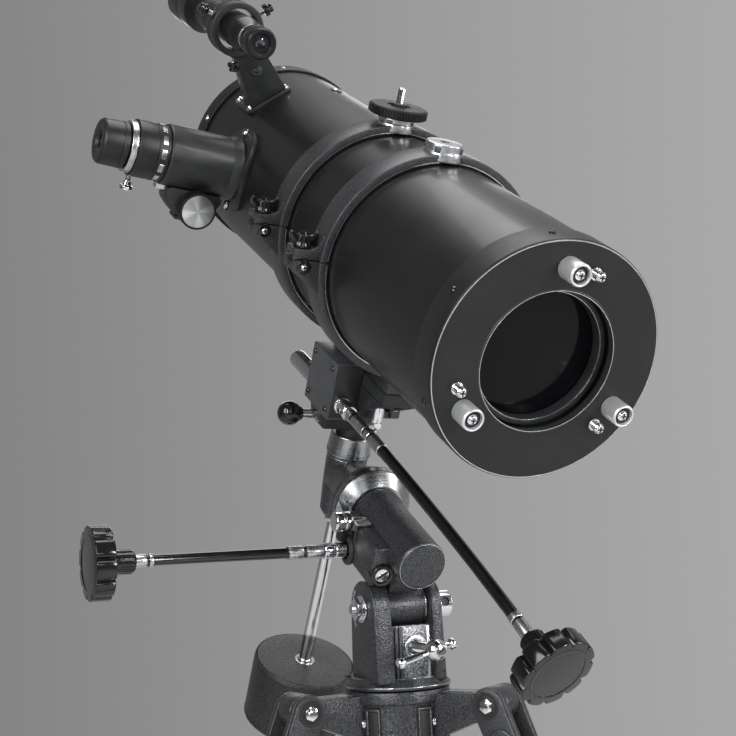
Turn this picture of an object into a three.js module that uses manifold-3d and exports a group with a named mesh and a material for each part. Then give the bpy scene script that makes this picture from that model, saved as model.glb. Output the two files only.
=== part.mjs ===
// Newtonian reflector on a small German equatorial mount and aluminium tripod.
// Millimetres, +Z up. Origin at the centre of the bottom of the bounding box.
// The polar axis runs in the YZ plane and rises towards +Y; the tube is parked parallel to it.
import * as THREE from 'three';
import { mergeVertices } from 'three/addons/utils/BufferGeometryUtils.js';
import Module from 'manifold-3d';

const wasm = await Module();
wasm.setup();

// ---- driving dimensions (mm, degrees) ----
const LATITUDE = 28.4;          // elevation of the polar axis at rest
const HOUR_ANGLE = 2.4;         // turn about the polar axis at rest
const PIVOT_Y = -8.6, PIVOT_Z = 54.5;   // latitude hinge in the azimuth frame
const POLAR_OFF = 43.2;         // polar axis over the latitude hinge
const CROSS = 121.3;            // declination axis along the polar axis, from the hinge foot
const TUBE_OFF = 181.2;         // optical axis over the polar axis
const TUBE_R = 73, TUBE_WALL = 1.6;
const REAR_T = -227.3, FRONT_T = 245.6; // ends of the optical tube along its axis
const CELL_R = 75, CELL_HOLE_R = 44.5, CELL_DEPTH = 22;
const MIRROR_R = 57, MIRROR_T = 14;
const RING_R = 80, RING_BORE = 73.4, RING_W = 22, RING_TS = [-53, 26];
const GAP = 0.3;
const FOCUS_T = 141, FOCUS_PSI = 174;   // focuser place along and around the tube
const FINDER_PSI = 127.4, FINDER_R = 138.5;
const LEG_ANGLES = [185, 305, 65], LEG_PIVOT_R = 76, LEG_PIVOT_Z = -10, LEG_SPLAY = 22;
const LEG_TOP = 330, LEG_LEN = 628;     // upper section length, whole length pivot to foot tip
const BRACE_AT = 300, BRACE_IN = 18, BRACE_LEN = 168, BRACE_HUB_R = 25;
const rad = Math.PI / 180;
const FOOT_CUT = 10;            // the foot tip is cut level at this height over the leg's end
const HEAD_Z = -LEG_PIVOT_Z + (LEG_LEN - FOOT_CUT) * Math.cos(LEG_SPLAY * rad); // tripod head's top face over the floor

// ---- solid helpers ----
function solid(geom, m) {
  let g = geom.index ? geom.toNonIndexed() : geom.clone();
  g.deleteAttribute('normal'); g.deleteAttribute('uv');
  if (m) g.applyMatrix4(m);
  g = mergeVertices(g, 1e-4);
  const idx = [];
  const a = g.index.array;
  for (let i = 0; i < a.length; i += 3) if (a[i] !== a[i + 1] && a[i + 1] !== a[i + 2] && a[i] !== a[i + 2]) idx.push(a[i], a[i + 1], a[i + 2]);
  const p = g.attributes.position.array;
  let v = 0;
  for (let i = 0; i < idx.length; i += 3) {
    const [A, B, C] = [idx[i] * 3, idx[i + 1] * 3, idx[i + 2] * 3];
    v += p[A] * (p[B + 1] * p[C + 2] - p[B + 2] * p[C + 1]) - p[A + 1] * (p[B] * p[C + 2] - p[B + 2] * p[C]) + p[A + 2] * (p[B] * p[C + 1] - p[B + 1] * p[C]);
  }
  if (v < 0) for (let i = 0; i < idx.length; i += 3) { const t = idx[i]; idx[i] = idx[i + 1]; idx[i + 1] = t; }
  return new wasm.Manifold(new wasm.Mesh({ numProp: 3, vertProperties: new Float32Array(p), triVerts: new Uint32Array(idx) }));
}
const join = (...s) => s.reduce((a, b) => a.add(b));
const cut = (s, ...t) => t.reduce((a, b) => a.subtract(b), s);
const T = (x, y, z) => new THREE.Matrix4().makeTranslation(x, y, z);
const RX = (d) => new THREE.Matrix4().makeRotationX(d * rad);
const RY = (d) => new THREE.Matrix4().makeRotationY(d * rad);
const RZ = (d) => new THREE.Matrix4().makeRotationZ(d * rad);
const mul = (...m) => m.reduce((a, b) => a.clone().multiply(b));
// a frame whose local Z points along the named axis
const AX = { z: new THREE.Matrix4(), y: RX(-90), x: RY(90), '-x': RY(-90), '-y': RX(90), '-z': RX(180) };
const along = (axis, x = 0, y = 0, z = 0) => mul(T(x, y, z), AX[axis]);
// solid of revolution about local Z: points are [radius, height]
const facets = (n) => Math.max(8, Math.round(n * 0.62 / 4) * 4);
function lathe(pts, seg, m) {
  const l = pts.map(([r, z]) => new THREE.Vector2(r, z));
  if (pts[0][0] > 0 || pts[pts.length - 1][0] > 0) l.push(l[0].clone());
  return solid(new THREE.LatheGeometry(l, facets(seg)), mul(m || T(0, 0, 0), RX(90)));
}
const cyl = (r, z0, z1, seg, m) => lathe([[0, z0], [r, z0], [r, z1], [0, z1]], seg, m);
const tube = (ri, ro, z0, z1, seg, m) => lathe([[ri, z0], [ro, z0], [ro, z1], [ri, z1]], seg, m);
function box(x0, x1, y0, y1, z0, z1, m) {
  const g = new THREE.BoxGeometry(x1 - x0, y1 - y0, z1 - z0);
  g.translate((x0 + x1) / 2, (y0 + y1) / 2, (z0 + z1) / 2);
  return solid(g, m);
}
// straight extrusion along local Z of an outline in local XY
function prism(pts, z0, z1, m) {
  const s = new THREE.Shape(pts.map(([x, y]) => new THREE.Vector2(x, y)));
  const g = new THREE.ExtrudeGeometry(s, { depth: z1 - z0, bevelEnabled: false });
  g.translate(0, 0, z0);
  return solid(g, m);
}
const shift = (s, x, y, z) => s.translate([x, y, z]);
const arc = (cx, cy, r, a0, a1, n) => Array.from({ length: n + 1 }, (_, i) => { const a = (a0 + (a1 - a0) * i / n) * rad; return [cx + r * Math.cos(a), cy + r * Math.sin(a)]; });
const star = (n, ro, ri) => Array.from({ length: n * 2 }, (_, i) => { const a = Math.PI * i / n, r = i % 2 ? ri : ro; return [r * Math.cos(a), r * Math.sin(a)]; });

const MATS = {
  tube_paint: [0x17181a, 0.35, 0.2], satin_black: [0x1a1b1c, 0.45, 0.2], hammertone: [0x3a3c3f, 0.4, 0.4],
  cast_black: [0x222325, 0.5, 0.2], chrome: [0xc9ccd0, 0.15, 1.0], brushed: [0xb4b7ba, 0.3, 1.0],
  black_plastic: [0x131415, 0.5, 0.0], gloss_plastic: [0x0c0d0e, 0.2, 0.0], rubber: [0x161616, 0.8, 0.0],
  mirror: [0xd8dde2, 0.03, 1.0], iron: [0x3c3e40, 0.5, 0.5], aluminium: [0xbfc2c5, 0.35, 0.9], flex_sleeve: [0x101112, 0.35, 0.0],
};
const mats = {};
for (const [k, [c, r, m]] of Object.entries(MATS)) mats[k] = new THREE.MeshStandardMaterial({ color: c, roughness: r, metalness: m });
function add(group, name, s, mat) {
  const mesh = s.getMesh();
  const g = new THREE.BufferGeometry();
  g.setAttribute('position', new THREE.BufferAttribute(new Float32Array(mesh.vertProperties), 3));
  g.setIndex(new THREE.BufferAttribute(new Uint32Array(mesh.triVerts), 1));
  const o = new THREE.Mesh(g, mats[mat].clone());
  o.name = name;
  group.add(o);
  return o;
}
function frame(parent, name, m) {
  const g = new THREE.Group();
  g.name = name;
  g.applyMatrix4(m || T(0, 0, 0));
  parent.add(g);
  return g;
}

const root = new THREE.Group();
const head = frame(root, 'f_head', T(0, 0, HEAD_Z));

// ---- tripod head: round hub with three leg lugs ----
let hub = join(cyl(33, -64, -GAP, 32), cyl(36, -9, -GAP, 32));
for (const a of LEG_ANGLES) {
  const m = RZ(a);
  hub = join(hub, box(20, 70, -9, 9, -22, -3, m), prism([[20, -40], [20, -20], [66, -20]], -9, 9, mul(m, RX(90))),
    cyl(12, -9, 9, 24, mul(m, T(LEG_PIVOT_R, 0, LEG_PIVOT_Z), AX['y'])));
}
for (const a of LEG_ANGLES) hub = cut(hub, cyl(4.3, -30, 30, 12, mul(RZ(a), T(LEG_PIVOT_R, 0, LEG_PIVOT_Z), AX.y)));
hub = cut(hub, cyl(25, -65, -14, 24), cyl(6.9, -20, 1, 16));
add(head, 'tripod_head', hub, 'hammertone');
add(head, 'azimuth_bolt', join(cyl(6, -26, -4, 16), prism(star(5, 17, 12), -38, -26)), 'black_plastic');

// ---- legs: each fork swings on its lug; the lower section slides inside the upper ----
const tray = frame(head, 'f_tray', T(0, 0, 0));
const attachR = LEG_PIVOT_R - BRACE_IN * Math.cos(LEG_SPLAY * rad) + BRACE_AT * Math.sin(LEG_SPLAY * rad);
const attachZ = LEG_PIVOT_Z - BRACE_IN * Math.sin(LEG_SPLAY * rad) - BRACE_AT * Math.cos(LEG_SPLAY * rad);
const braceRise = Math.sqrt(BRACE_LEN ** 2 - (attachR - BRACE_HUB_R) ** 2);
const braceBeta = Math.atan2(braceRise, attachR - BRACE_HUB_R) / rad;
const trayZ = attachZ + braceRise;
LEG_ANGLES.forEach((a, i) => {
  const n = i + 1;
  // leg frame: origin on the hinge, local -Z down the leg, local X outward, local Y along the hinge
  const leg = frame(head, 'f_leg_' + n, mul(RZ(a), T(LEG_PIVOT_R, 0, LEG_PIVOT_Z), RY(-LEG_SPLAY)));
  const profile = cut(box(-9, 9, -14, 14, -LEG_TOP, -40), box(-7.2, 7.2, -12.2, 12.2, -LEG_TOP - 1, -46));
  const fitting = join(cyl(12, -14.2, -9.4, 24, AX['y']), cyl(12, 9.4, 14.2, 24, AX['y']), box(-11.5, 11.5, -14.2, -9.4, -40, 0), box(-11.5, 11.5, 9.4, 14.2, -40, 0), box(-12.5, 12.5, -16.5, 16.5, -66, -38));
  add(leg, 'leg_upper_' + n, cut(join(fitting, profile, box(-12.5, 12.5, -17, 17, -LEG_TOP - 4, -LEG_TOP + 26)),
    box(-7.2, 7.2, -12.2, 12.2, -LEG_TOP - 6, -46),
    cyl(3.2, 0, 20, 10, along('x', 0, 0, -LEG_TOP + 11))).add(join(box(-24, -9, -10.5, -6.5, -BRACE_AT - 8, -BRACE_AT + 8), box(-24, -9, 6.5, 10.5, -BRACE_AT - 8, -BRACE_AT + 8), cyl(2.2, -10, 10, 8, along('y', -BRACE_IN, 0, -BRACE_AT)), cyl(3.9, -14, 14, 12, AX['y']), cyl(7.6, -18.4, -14, 6, AX['y']), cyl(7.6, 14, 18.4, 6, AX['y']))), 'aluminium');
  const low = join(box(-6.9, 6.9, -11.9, 11.9, -LEG_LEN + 30, -120), box(-9, 9, -13.5, 13.5, -LEG_LEN + 28, -LEG_LEN + 52),
    lathe([[0, -LEG_LEN], [11, -LEG_LEN], [12.5, -LEG_LEN + 12], [10, -LEG_LEN + 30], [0, -LEG_LEN + 30]], 20));
  add(leg, 'leg_lower_' + n, cut(low, box(-40, 40, -40, 40, -40, 0, mul(T(0, 0, -LEG_LEN + FOOT_CUT), RY(LEG_SPLAY)))), 'aluminium');
  add(leg, 'leg_lock_' + n, join(cyl(2.9, 7.3, 14, 10, along('x', 0, 0, -LEG_TOP + 11)), prism(star(3, 14, 7), 12.8, 22, along('x', 0, 0, -LEG_TOP + 11))), 'black_plastic');
  // brace: hinged on a bracket at the inner face of the upper section
  const br = frame(leg, 'f_brace_' + n, mul(T(-BRACE_IN, 0, -BRACE_AT), RY(LEG_SPLAY)));
  const dir = mul(RY(180 + braceBeta)); // local X runs from the leg to the hub
  add(br, 'brace_' + n, cut(join(box(0, BRACE_LEN, -6, 6, -2.5, 2.5, dir), cyl(5, -6, 6, 12, mul(dir, AX.y)), cyl(5, -6, 6, 12, mul(dir, T(BRACE_LEN, 0, 0), AX.y))), cyl(2.6, -8, 8, 8, mul(dir, AX.y)), cyl(3.5, -8, 8, 8, mul(dir, T(BRACE_LEN, 0, 0), AX.y))), 'cast_black');
});
// accessory tray: three ears take the braces' inner ends
let tr = join(cyl(50, trayZ + 12, trayZ + 16, 48), cyl(11, trayZ - 12, trayZ + 13, 20));
for (const a of LEG_ANGLES) {
  tr = join(tr, box(9, 31, -11, -6.6, trayZ - 8, trayZ + 13, RZ(a)), box(9, 31, 6.6, 11, trayZ - 8, trayZ + 13, RZ(a)), cyl(4, -12.6, -10.8, 12, mul(RZ(a), T(BRACE_HUB_R, 0, trayZ), AX.y)), cyl(4, 10.8, 12.6, 12, mul(RZ(a), T(BRACE_HUB_R, 0, trayZ), AX.y)));
}
for (let k = 0; k < 3; k++) tr = cut(tr, cyl(15.9, trayZ + 5, trayZ + 20, 24, mul(RZ(LEG_ANGLES[0] + 60 + 120 * k), T(30.5, 0, 0))));
add(tray, 'accessory_tray', tr, 'cast_black');

// ---- azimuth bracket ----
const az = frame(head, 'f_azimuth', T(0, 0, 0));
// ear outline drawn in (y, z), extruded along x
const earPts = [[PIVOT_Y - 19, 5], ...arc(PIVOT_Y, PIVOT_Z, 19, 180, 0, 14), [PIVOT_Y + 19, 5]];
const YZ = mul(RZ(90), RX(90)); // local XY -> world YZ, local Z -> world X
let brk = join(lathe([[0, 0], [36.5, 0], [36.5, 2.5], [31, 8], [0, 8]], 32), prism(earPts, -28, -15, YZ), prism(earPts, 16, 23.5, YZ),
  box(-20, 20, -24, -16, 5, 42.6), box(-20, 20, 2, 9, 5, 28), cyl(8, -3, 3, 16, along('y', 3, -22, 27.5)));
brk = cut(brk, cyl(5.3, -40, 40, 20, along('x', 0, PIVOT_Y, PIVOT_Z)), cyl(4.6, -20, 20, 14, along('y', 3, -20, 27.5)));
add(az, 'azimuth_bracket', brk, 'hammertone');
add(az, 'latitude_bolt', join(cyl(5, -30, 25, 20, along('x', 0, PIVOT_Y, PIVOT_Z)), cyl(7.5, -34, -28.3, 6, along('x', 0, PIVOT_Y, PIVOT_Z)),
  cyl(9, 23.8, 37.9, 20, along('x', 0, PIVOT_Y, PIVOT_Z))), 'chrome');
const tb = mul(T(3, -56, 27.5), RY(-14.4));
add(az, 'latitude_t_bolt', join(cyl(4, -56, -12.5, 16, along('y', 3, 0, 27.5)), solid(new THREE.SphereGeometry(7.5, 12, 8), T(3, -56, 27.5)),
  cyl(2.4, -26, 12, 12, mul(tb, AX.x)), cyl(3.8, -29, -24.5, 12, mul(tb, AX.x)), cyl(3.8, 10, 14.5, 12, mul(tb, AX.x))), 'chrome');

// ---- polar axis housing ----
const lat = frame(az, 'f_latitude', mul(T(0, PIVOT_Y, PIVOT_Z), RX(LATITUDE)));
const PO = (axis, x = 0, y = 0, z = 0) => along(axis, x, y, z + POLAR_OFF);
const WY = 36, WZ = -17; // worm line, from the hinge foot
let ra = join(lathe([[0, -22], [16, -22], [17.3, -20.5], [17.5, 40], [19, 57], [0, 57]], 36, PO('y')),
  cyl(13.4, -14.3, 15.3, 28, along('x')), box(-12, 12, -2, 14, 6, POLAR_OFF - 6),
  box(-28, -8, -4, 52, -24, 5, T(0, 0, POLAR_OFF)), box(-29.6, -18.5, 26, 32.4, 38, 51), box(-12, 14, 22, 50, -26, -8, T(0, 0, POLAR_OFF)),
  cyl(8.5, -3, 8, 18, PO('-y', -20, 2, -15)));
ra = cut(ra, cyl(5.3, -40, 40, 20, along('x')), cyl(9.4, 6, 60, 24, PO('y')), cyl(14.6, 26, 46, 28, PO('y')),
  cyl(6.4, -40, 8, 20, PO('x', 0, WY, WZ)), cyl(3.4, -32, -14, 12, PO('x', 0, 40, 3)));
add(lat, 'polar_housing', ra, 'hammertone');
add(lat, 'ra_lock_screw', join(cyl(3.1, -29, -16, 12, PO('x', 0, 40, 3)), cyl(6.8, -41, -28.4, 20, PO('x', 0, 40, 3)), box(-36, -30, -3, 3, -13, -5, T(0, 40, POLAR_OFF + 3))), 'chrome');
add(lat, 'ra_worm', join(cyl(3.2, -46, 6.5, 14, PO('x', 0, WY, WZ)), cyl(5.6, -12, 5, 16, PO('x', 0, WY, WZ)), cyl(5.4, -47, -28.5, 18, PO('x', 0, WY, WZ))), 'chrome');
const FR = (z0, z1, r, s) => cyl(r, z0, z1, s, PO('-x', 0, WY, WZ));
add(lat, 'ra_flex_shaft', join(FR(47.3, 74, 4.4, 16), FR(73, 168, 4.0, 16), FR(167, 180.4, 4.4, 16)), 'flex_sleeve');
add(lat, 'ra_slow_knob', join(FR(180.7, 200, 7.6, 20), prism(star(10, 24.6, 21.8), 198, 212, PO('-x', 0, WY, WZ))), 'black_plastic');
add(lat, 'ra_setting_circle', lathe([[9.3, 57.4], [20, 57.4], [29, 65.5], [29, 72.6], [9.3, 72.6]], 40, PO('y')), 'brushed');

// ---- declination housing, turns about the polar axis ----
const raf = frame(lat, 'f_polar', mul(T(0, 0, POLAR_OFF), RY(HOUR_ANGLE)));
let dh = join(lathe([[0, 8], [8.9, 8], [8.9, 27], [11, 27], [11, 44], [8.9, 44], [8.9, 73], [26, 73], [26, 79], [20, 88], [17, 104], [16, 121], [0, 121]], 36, AX.y),
  lathe([[0, -34], [10.6, -34], [12.6, -30], [14.2, -12], [15.2, 4], [15.6, 17], [0, 17]], 32, T(0, CROSS, 0)));
dh = cut(dh, cyl(5.4, -40, -18, 16, T(0, CROSS, 0)), cyl(8.8, -8, 20, 28, T(0, CROSS, 0)));
add(raf, 'declination_housing', dh, 'hammertone');
add(raf, 'declination_circle', tube(9.1, 16.6, 17.3, 29.6, 36, T(0, CROSS, 0)), 'brushed');
add(raf, 'counterweight_shaft', join(cyl(5, -232, -18.4, 20, T(0, CROSS, 0)), cyl(8, -39, -34.4, 6, T(0, CROSS, 0))), 'chrome');
add(raf, 'shaft_end_stop', cut(cyl(9, -236, -224, 20, T(0, CROSS, 0)), cyl(5.3, -233, -220, 20, T(0, CROSS, 0))), 'chrome');
const cwf = T(0, CROSS, 0);
add(raf, 'counterweight', cut(lathe([[5.4, -217], [36.5, -217], [39.5, -214], [39.5, -165], [37, -162], [5.4, -162]], 40, cwf), cyl(3.6, 4, 44, 12, along('-y', 0, CROSS, -190))), 'iron');
add(raf, 'counterweight_screw', join(cyl(3.3, 5.8, 41, 12, along('-y', 0, CROSS, -190)), cyl(8, 39.9, 50, 16, along('-y', 0, CROSS, -190))), 'black_plastic');

// ---- saddle, turns about the declination axis ----
const dec = frame(raf, 'f_declination', T(0, CROSS, 0));
let sad = join(cyl(8.3, -7.5, 32, 20), cyl(12, 30, 42, 28), box(-30, 13, -12, 12, 40.5, 54), box(-34.5, -13, -24, 22, 53, 96), box(-14, 27, -17, 17, 52, 79),
  box(-12.7, 14, -63, 40, 78, 90));
sad = cut(sad, cyl(7.2, -60, 60, 20, along('y', -26, 0, 66)), cyl(3.4, -45, -20, 12, along('x', 0, 0, 47.5)));
add(dec, 'saddle', sad, 'cast_black');
add(dec, 'dec_lock_knob', join(cyl(3.1, -31, -21, 12, along('x', 0, 0, 47.5)), cyl(3.4, -48, -30.3, 12, along('x', 0, 0, 47.5)), solid(new THREE.SphereGeometry(8.9, 14, 10), T(-53, 0, 47.5))), 'gloss_plastic');
add(dec, 'dec_worm', join(cyl(5.6, -24, 62, 18, along('y', -26, 0, 66)), cyl(6.8, -24, 64, 18, along('y', -26, 0, 66)), cyl(5.8, -42, -24.3, 18, along('y', -26, 0, 66)), cyl(4, -25, 0, 12, along('y', -26, 0, 66))), 'chrome');
// bent flexible shaft: leaves the worm along -Y and sags towards the tripod
const flexPts = [[0, -42.4, 66], [0, -58, 66], [1, -90, 64.5], [4.5, -130, 60], [9.5, -170, 53.5], [15.5, -210, 45.5], [21, -245, 37.5], [26, -279, 29.6]].map(([x, y, z]) => new THREE.Vector3(x - 26, y, z));
const flexCurve = new THREE.CatmullRomCurve3(flexPts);
const ring8 = (r, n) => new THREE.Shape(Array.from({ length: n }, (_, i) => new THREE.Vector2(r * Math.cos(2 * Math.PI * i / n), r * Math.sin(2 * Math.PI * i / n))));
add(dec, 'dec_flex_shaft', solid(new THREE.ExtrudeGeometry(ring8(4.1, 12), { steps: 14, bevelEnabled: false, extrudePath: flexCurve })), 'flex_sleeve');
const tang = flexPts[7].clone().sub(flexPts[6]).normalize();
const knobM = new THREE.Matrix4().makeTranslation(flexPts[7].x, flexPts[7].y, flexPts[7].z).multiply(new THREE.Matrix4().makeRotationFromQuaternion(new THREE.Quaternion().setFromUnitVectors(new THREE.Vector3(0, 0, 1), tang)));
const dk = frame(dec, 'f_dec_knob', knobM);
add(dk, 'dec_slow_knob', join(cyl(7.6, 0.5, 20, 20), prism(star(10, 24.6, 21.8), 18, 32)), 'black_plastic');

// ---- tube rings: lower halves on the saddle, upper halves hinged at the right ----
const rings = frame(dec, 'f_rings', T(0, 0, TUBE_OFF)); // local Y is the optical axis
const XZ = RX(90); // local XY -> world XZ, local Z -> world -Y
const bore = () => cyl(RING_BORE, -300, 300, 56, AX.y);
const HINGE_X = 88, LUG_X = -90.5;
RING_TS.forEach((t, i) => {
  const n = ['rear', 'front'][i], hw = RING_W / 2;
  const half = (a0) => prism([...arc(0, 0, RING_R, a0, a0 + 180, 22), ...arc(0, 0, RING_R - 10, a0 + 180, a0, 22)], -t - hw, -t + hw, XZ);
  let lower = join(half(180), box(-12.5, 12.5, t - 10.5, t + 10.5, 90.3 - TUBE_OFF, -RING_R + 4),
    prism([[-79, -21], [-79, 0], [-98, 0], [-98, -8]], -t - 8, -t + 8, XZ), box(74, 88, t - hw, t + hw, -8, 0));
  lower = cut(lower, bore(), box(-120, 120, t - 20, t + 20, -GAP / 2, 20), box(81, 100, t - 4, t + 4, -20, 8));
  lower = join(lower, cyl(5.8, -hw, -4, 16, along('y', HINGE_X, t, 0)), cyl(5.8, 4, hw, 16, along('y', HINGE_X, t, 0)));
  lower = cut(lower, cyl(2.6, -30, 30, 12, along('y', HINGE_X, t, 0)));
  add(rings, 'ring_lower_' + n, lower, 'hammertone');
  // upper half, drawn about its hinge line
  const up = frame(rings, 'f_ring_upper_' + n, T(HINGE_X, t, 0));
  let upper = join(half(0), box(-98, -77, t - 8, t + 8, 0, 7), box(74, 88, t - 3.7, t + 3.7, 0, 8),
    cyl(12.5, 70, i ? 84.5 : 86, 24, T(-3.5, t, 0)));
  upper = cut(upper, bore(), box(-120, 120, t - 20, t + 20, -20, GAP / 2), cyl(3.4, -5, 30, 12, T(LUG_X, t, 0)), cyl(3.4, 74, 90, 12, T(-3.5, t, 0)), box(81.7, 100, t - 12, t - 3.7, -1, 8.2), box(81.7, 100, t + 3.7, t + 12, -1, 8.2));
  upper = join(upper, cyl(5.8, -3.7, 3.7, 16, along('y', HINGE_X, t, 0)), cyl(2.3, -hw - 1, hw + 1, 12, along('y', HINGE_X, t, 0)));
  add(up, 'ring_upper_' + n, shift(upper, -HINGE_X, -t, 0), 'hammertone');
  const kn = frame(up, 'f_ring_knob_' + n, T(LUG_X - HINGE_X, 0, 0));
  add(kn, 'ring_knob_' + n, join(cyl(3.1, 1, 17.5, 12), cyl(6.2, 7.3, 14, 16), box(-10.5, 10.5, -2.4, 2.4, 10, 18), box(-5, 5, -3.4, 3.4, 10, 16)), 'black_plastic');
  if (i) {
    const pg = frame(up, 'f_piggyback', T(-3.5 - HINGE_X, 0, 0));
    add(pg, 'piggyback_knob', join(cyl(3.05, 76, 104.5, 12), cyl(21, 84.9, 92, 40)), 'black_plastic');
  }
});

// ---- optical tube ----
const ota = frame(dec, 'f_tube', T(0, 0, TUBE_OFF));
const FOC = mul(T(0, FOCUS_T, 0), RY(90 - FOCUS_PSI));   // local Z runs out along the focuser, X up, Y along the tube
const FIN = mul(T(0, 0, 0), RY(90 - FINDER_PSI));        // local Z runs out through the finder
add(ota, 'main_tube', cut(tube(TUBE_R - TUBE_WALL, TUBE_R, REAR_T + 5.3, FRONT_T - 5.3, 56, AX.y), cyl(20, 40, 100, 20, FOC)), 'tube_paint');
const KPSI = [92, -27, -147], KR = 58;
const kp = (k, dy = 0) => along('y', KR * Math.cos(KPSI[k] * rad), dy, KR * Math.sin(KPSI[k] * rad));
let cell = lathe([[CELL_HOLE_R, REAR_T], [CELL_R - 1, REAR_T], [CELL_R, REAR_T + 1], [CELL_R, REAR_T + CELL_DEPTH], [TUBE_R + GAP, REAR_T + CELL_DEPTH], [TUBE_R + GAP, REAR_T + 5], [CELL_HOLE_R, REAR_T + 5]], 56, AX.y);
let mc = lathe([[40, REAR_T + 9], [50, REAR_T + 9], [61, REAR_T + 13], [61, REAR_T + 33], [58.5, REAR_T + 33], [58.5, REAR_T + 17], [40, REAR_T + 17]], 48, AX.y);
for (let k = 0; k < 3; k++) cell = cut(cell, cyl(2.6, REAR_T - 5, REAR_T + 10, 12, kp(k)));
add(ota, 'rear_cell', cell, 'satin_black');
add(ota, 'mirror_cell', mc, 'cast_black');
add(ota, 'primary_mirror', lathe([[0, REAR_T + 17.4], [MIRROR_R, REAR_T + 17.4], [MIRROR_R, REAR_T + 17.4 + MIRROR_T], [30, REAR_T + 16 + MIRROR_T], [0, REAR_T + 15.4 + MIRROR_T]], 48, AX.y), 'mirror');
for (let k = 0; k < 3; k++) {
  const f = frame(ota, 'f_collimation_' + (k + 1), kp(k));
  add(f, 'collimation_knob_' + (k + 1), join(cyl(2.2, REAR_T - 2, REAR_T + 8.6, 10), lathe([[0, REAR_T - 13.6], [5.4, REAR_T - 13.6], [6, REAR_T - 16], [7, REAR_T - 15.2], [7, REAR_T - GAP], [0, REAR_T - GAP]], 20)), 'chrome');
}
add(ota, 'front_ring', lathe([[66, FRONT_T], [74, FRONT_T], [75, FRONT_T - 1], [75, FRONT_T - 17], [TUBE_R + GAP, FRONT_T - 17], [TUBE_R + GAP, FRONT_T - 5], [66, FRONT_T - 5]], 56, AX.y), 'satin_black');
let sp = join(cyl(10, 158, 178, 20, AX.y), cyl(5, 150, 160, 16, AX.y));
for (const p of [83, 203, 323]) sp = join(sp, box(8, TUBE_R - TUBE_WALL - GAP, 162, 174, -0.6, 0.6, RY(-p)));
add(ota, 'spider', sp, 'cast_black');
// secondary: an oblique-cut cylinder under the focuser
add(ota, 'secondary_mirror', cut(cyl(13, FOCUS_T - 16, 149.6, 24, AX.y), box(-60, 60, -80, 0, -60, 60, mul(T(0, FOCUS_T, 0), RY(90 - FOCUS_PSI), RX(-45), T(0, 0, 0)))), 'mirror');

// ---- rack focuser ----
const foc = frame(ota, 'f_focuser', FOC);
const tubeIn = (r) => cyl(r, 20, 230, 56, mul(FOC.clone().invert(), AX.y));
const PX = -32.5, PZ = 103.7;
let fb = join(box(-33, 33, -28, 28, 60, 80).intersect(tubeIn(77)), cyl(24.5, 72, 82, 28), cyl(23, 74, 133, 32), box(-41, -14, -12, 12, PZ - 13, PZ + 16));
fb = cut(fb, tubeIn(TUBE_R + GAP), cyl(19.4, 60, 140, 28), box(-26.4, -10, -4.6, 4.6, 60, 140), cyl(6.6, -9, 9, 16, along('y', PX, 0, PZ)), cyl(3.4, -30, 30, 12, along('y', PX, 0, PZ)));
add(foc, 'focuser_base', fb, 'cast_black');
const dt = frame(foc, 'f_drawtube', T(0, 0, 0));
add(dt, 'drawtube', cut(join(cyl(19, 84, 140, 28), cyl(21.5, 133.4, 141, 32), cyl(21.3, 141, 158, 28), cyl(20, 158, 163, 28), box(-26.1, -17, -4, 4, 86, 133), cyl(2.4, 17, 25.5, 10, along('-x', 0, 0, 154)), cyl(5, 25, 32.5, 12, along('-x', 0, 0, 154))), cyl(16.15, 80, 170, 32)), 'black_plastic');
const ep = frame(dt, 'f_eyepiece', T(0, 0, 0));
add(ep, 'eyepiece', lathe([[0, 130], [15.8, 130], [15.8, 163.3], [17.6, 163.3], [17.6, 167], [17, 181.5], [15.5, 183], [7, 183], [6, 179], [0, 179]], 32), 'black_plastic');
const fk = frame(foc, 'f_focus_knobs', along('y', PX, 0, PZ));
add(fk, 'focus_knobs', join(cyl(3.1, -18, 18, 12), cyl(6, -8, 8, 16), cyl(14, -27, -15, 28), cyl(14, 15, 27, 28)), 'black_plastic');

// ---- finder ----
const fin = frame(ota, 'f_finder', FIN);
const tubeInF = (r) => cyl(r, -320, 320, 56, mul(FIN.clone().invert(), AX.y));
const shear = new THREE.Matrix4().set(1, 0, 0, 0, 0, 1, -0.234, 17.5, 0, 0, 1, 0, 0, 0, 0, 1);
let fbk = join(box(-20, 20, 168, 206, 60, 80).intersect(tubeInF(76.6)), prism([[-16, 74], [16, 74], [11, 124], [-11, 124]], -181, -169, mul(shear, RX(90))), tube(15.6, 20.5, 156, 171, 28, mul(T(0, 0, FINDER_R), AX.y)));
fbk = cut(fbk, tubeInF(TUBE_R + GAP), cyl(15.6, 150, 176, 28, mul(T(0, 0, FINDER_R), AX.y)));
for (const a of [90, 210, 330]) fbk = join(fbk, cyl(1.6, 19, 27, 8, mul(T(0, 163.5, FINDER_R), RY(a))), cyl(4.2, 26, 33, 12, mul(T(0, 163.5, FINDER_R), RY(a))));
add(fin, 'finder_bracket', fbk, 'cast_black');
const fs = frame(fin, 'f_finder_scope', T(0, 163.5, FINDER_R));
add(fs, 'finder_scope', lathe([[0, -59.5], [6, -59.5], [7, -63.5], [10.6, -63.5], [11.4, -62], [11.4, -46], [9.5, -45], [9.5, -34], [12.8, -26], [12.8, 66], [18, 76], [18, 124], [17, 125], [15.5, 125], [15.5, 116], [0, 116]], 32, AX.y), 'tube_paint');

// ---- stand the part on its own bounding box ----
root.updateMatrixWorld(true);
const bb = new THREE.Box3().setFromObject(root, true);
root.position.set(-(bb.min.x + bb.max.x) / 2, -(bb.min.y + bb.max.y) / 2, -bb.min.z);
root.updateMatrixWorld(true);
export default root;
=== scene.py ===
import math
import bpy, bmesh
import numpy as np
from mathutils import Matrix, Vector


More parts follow.
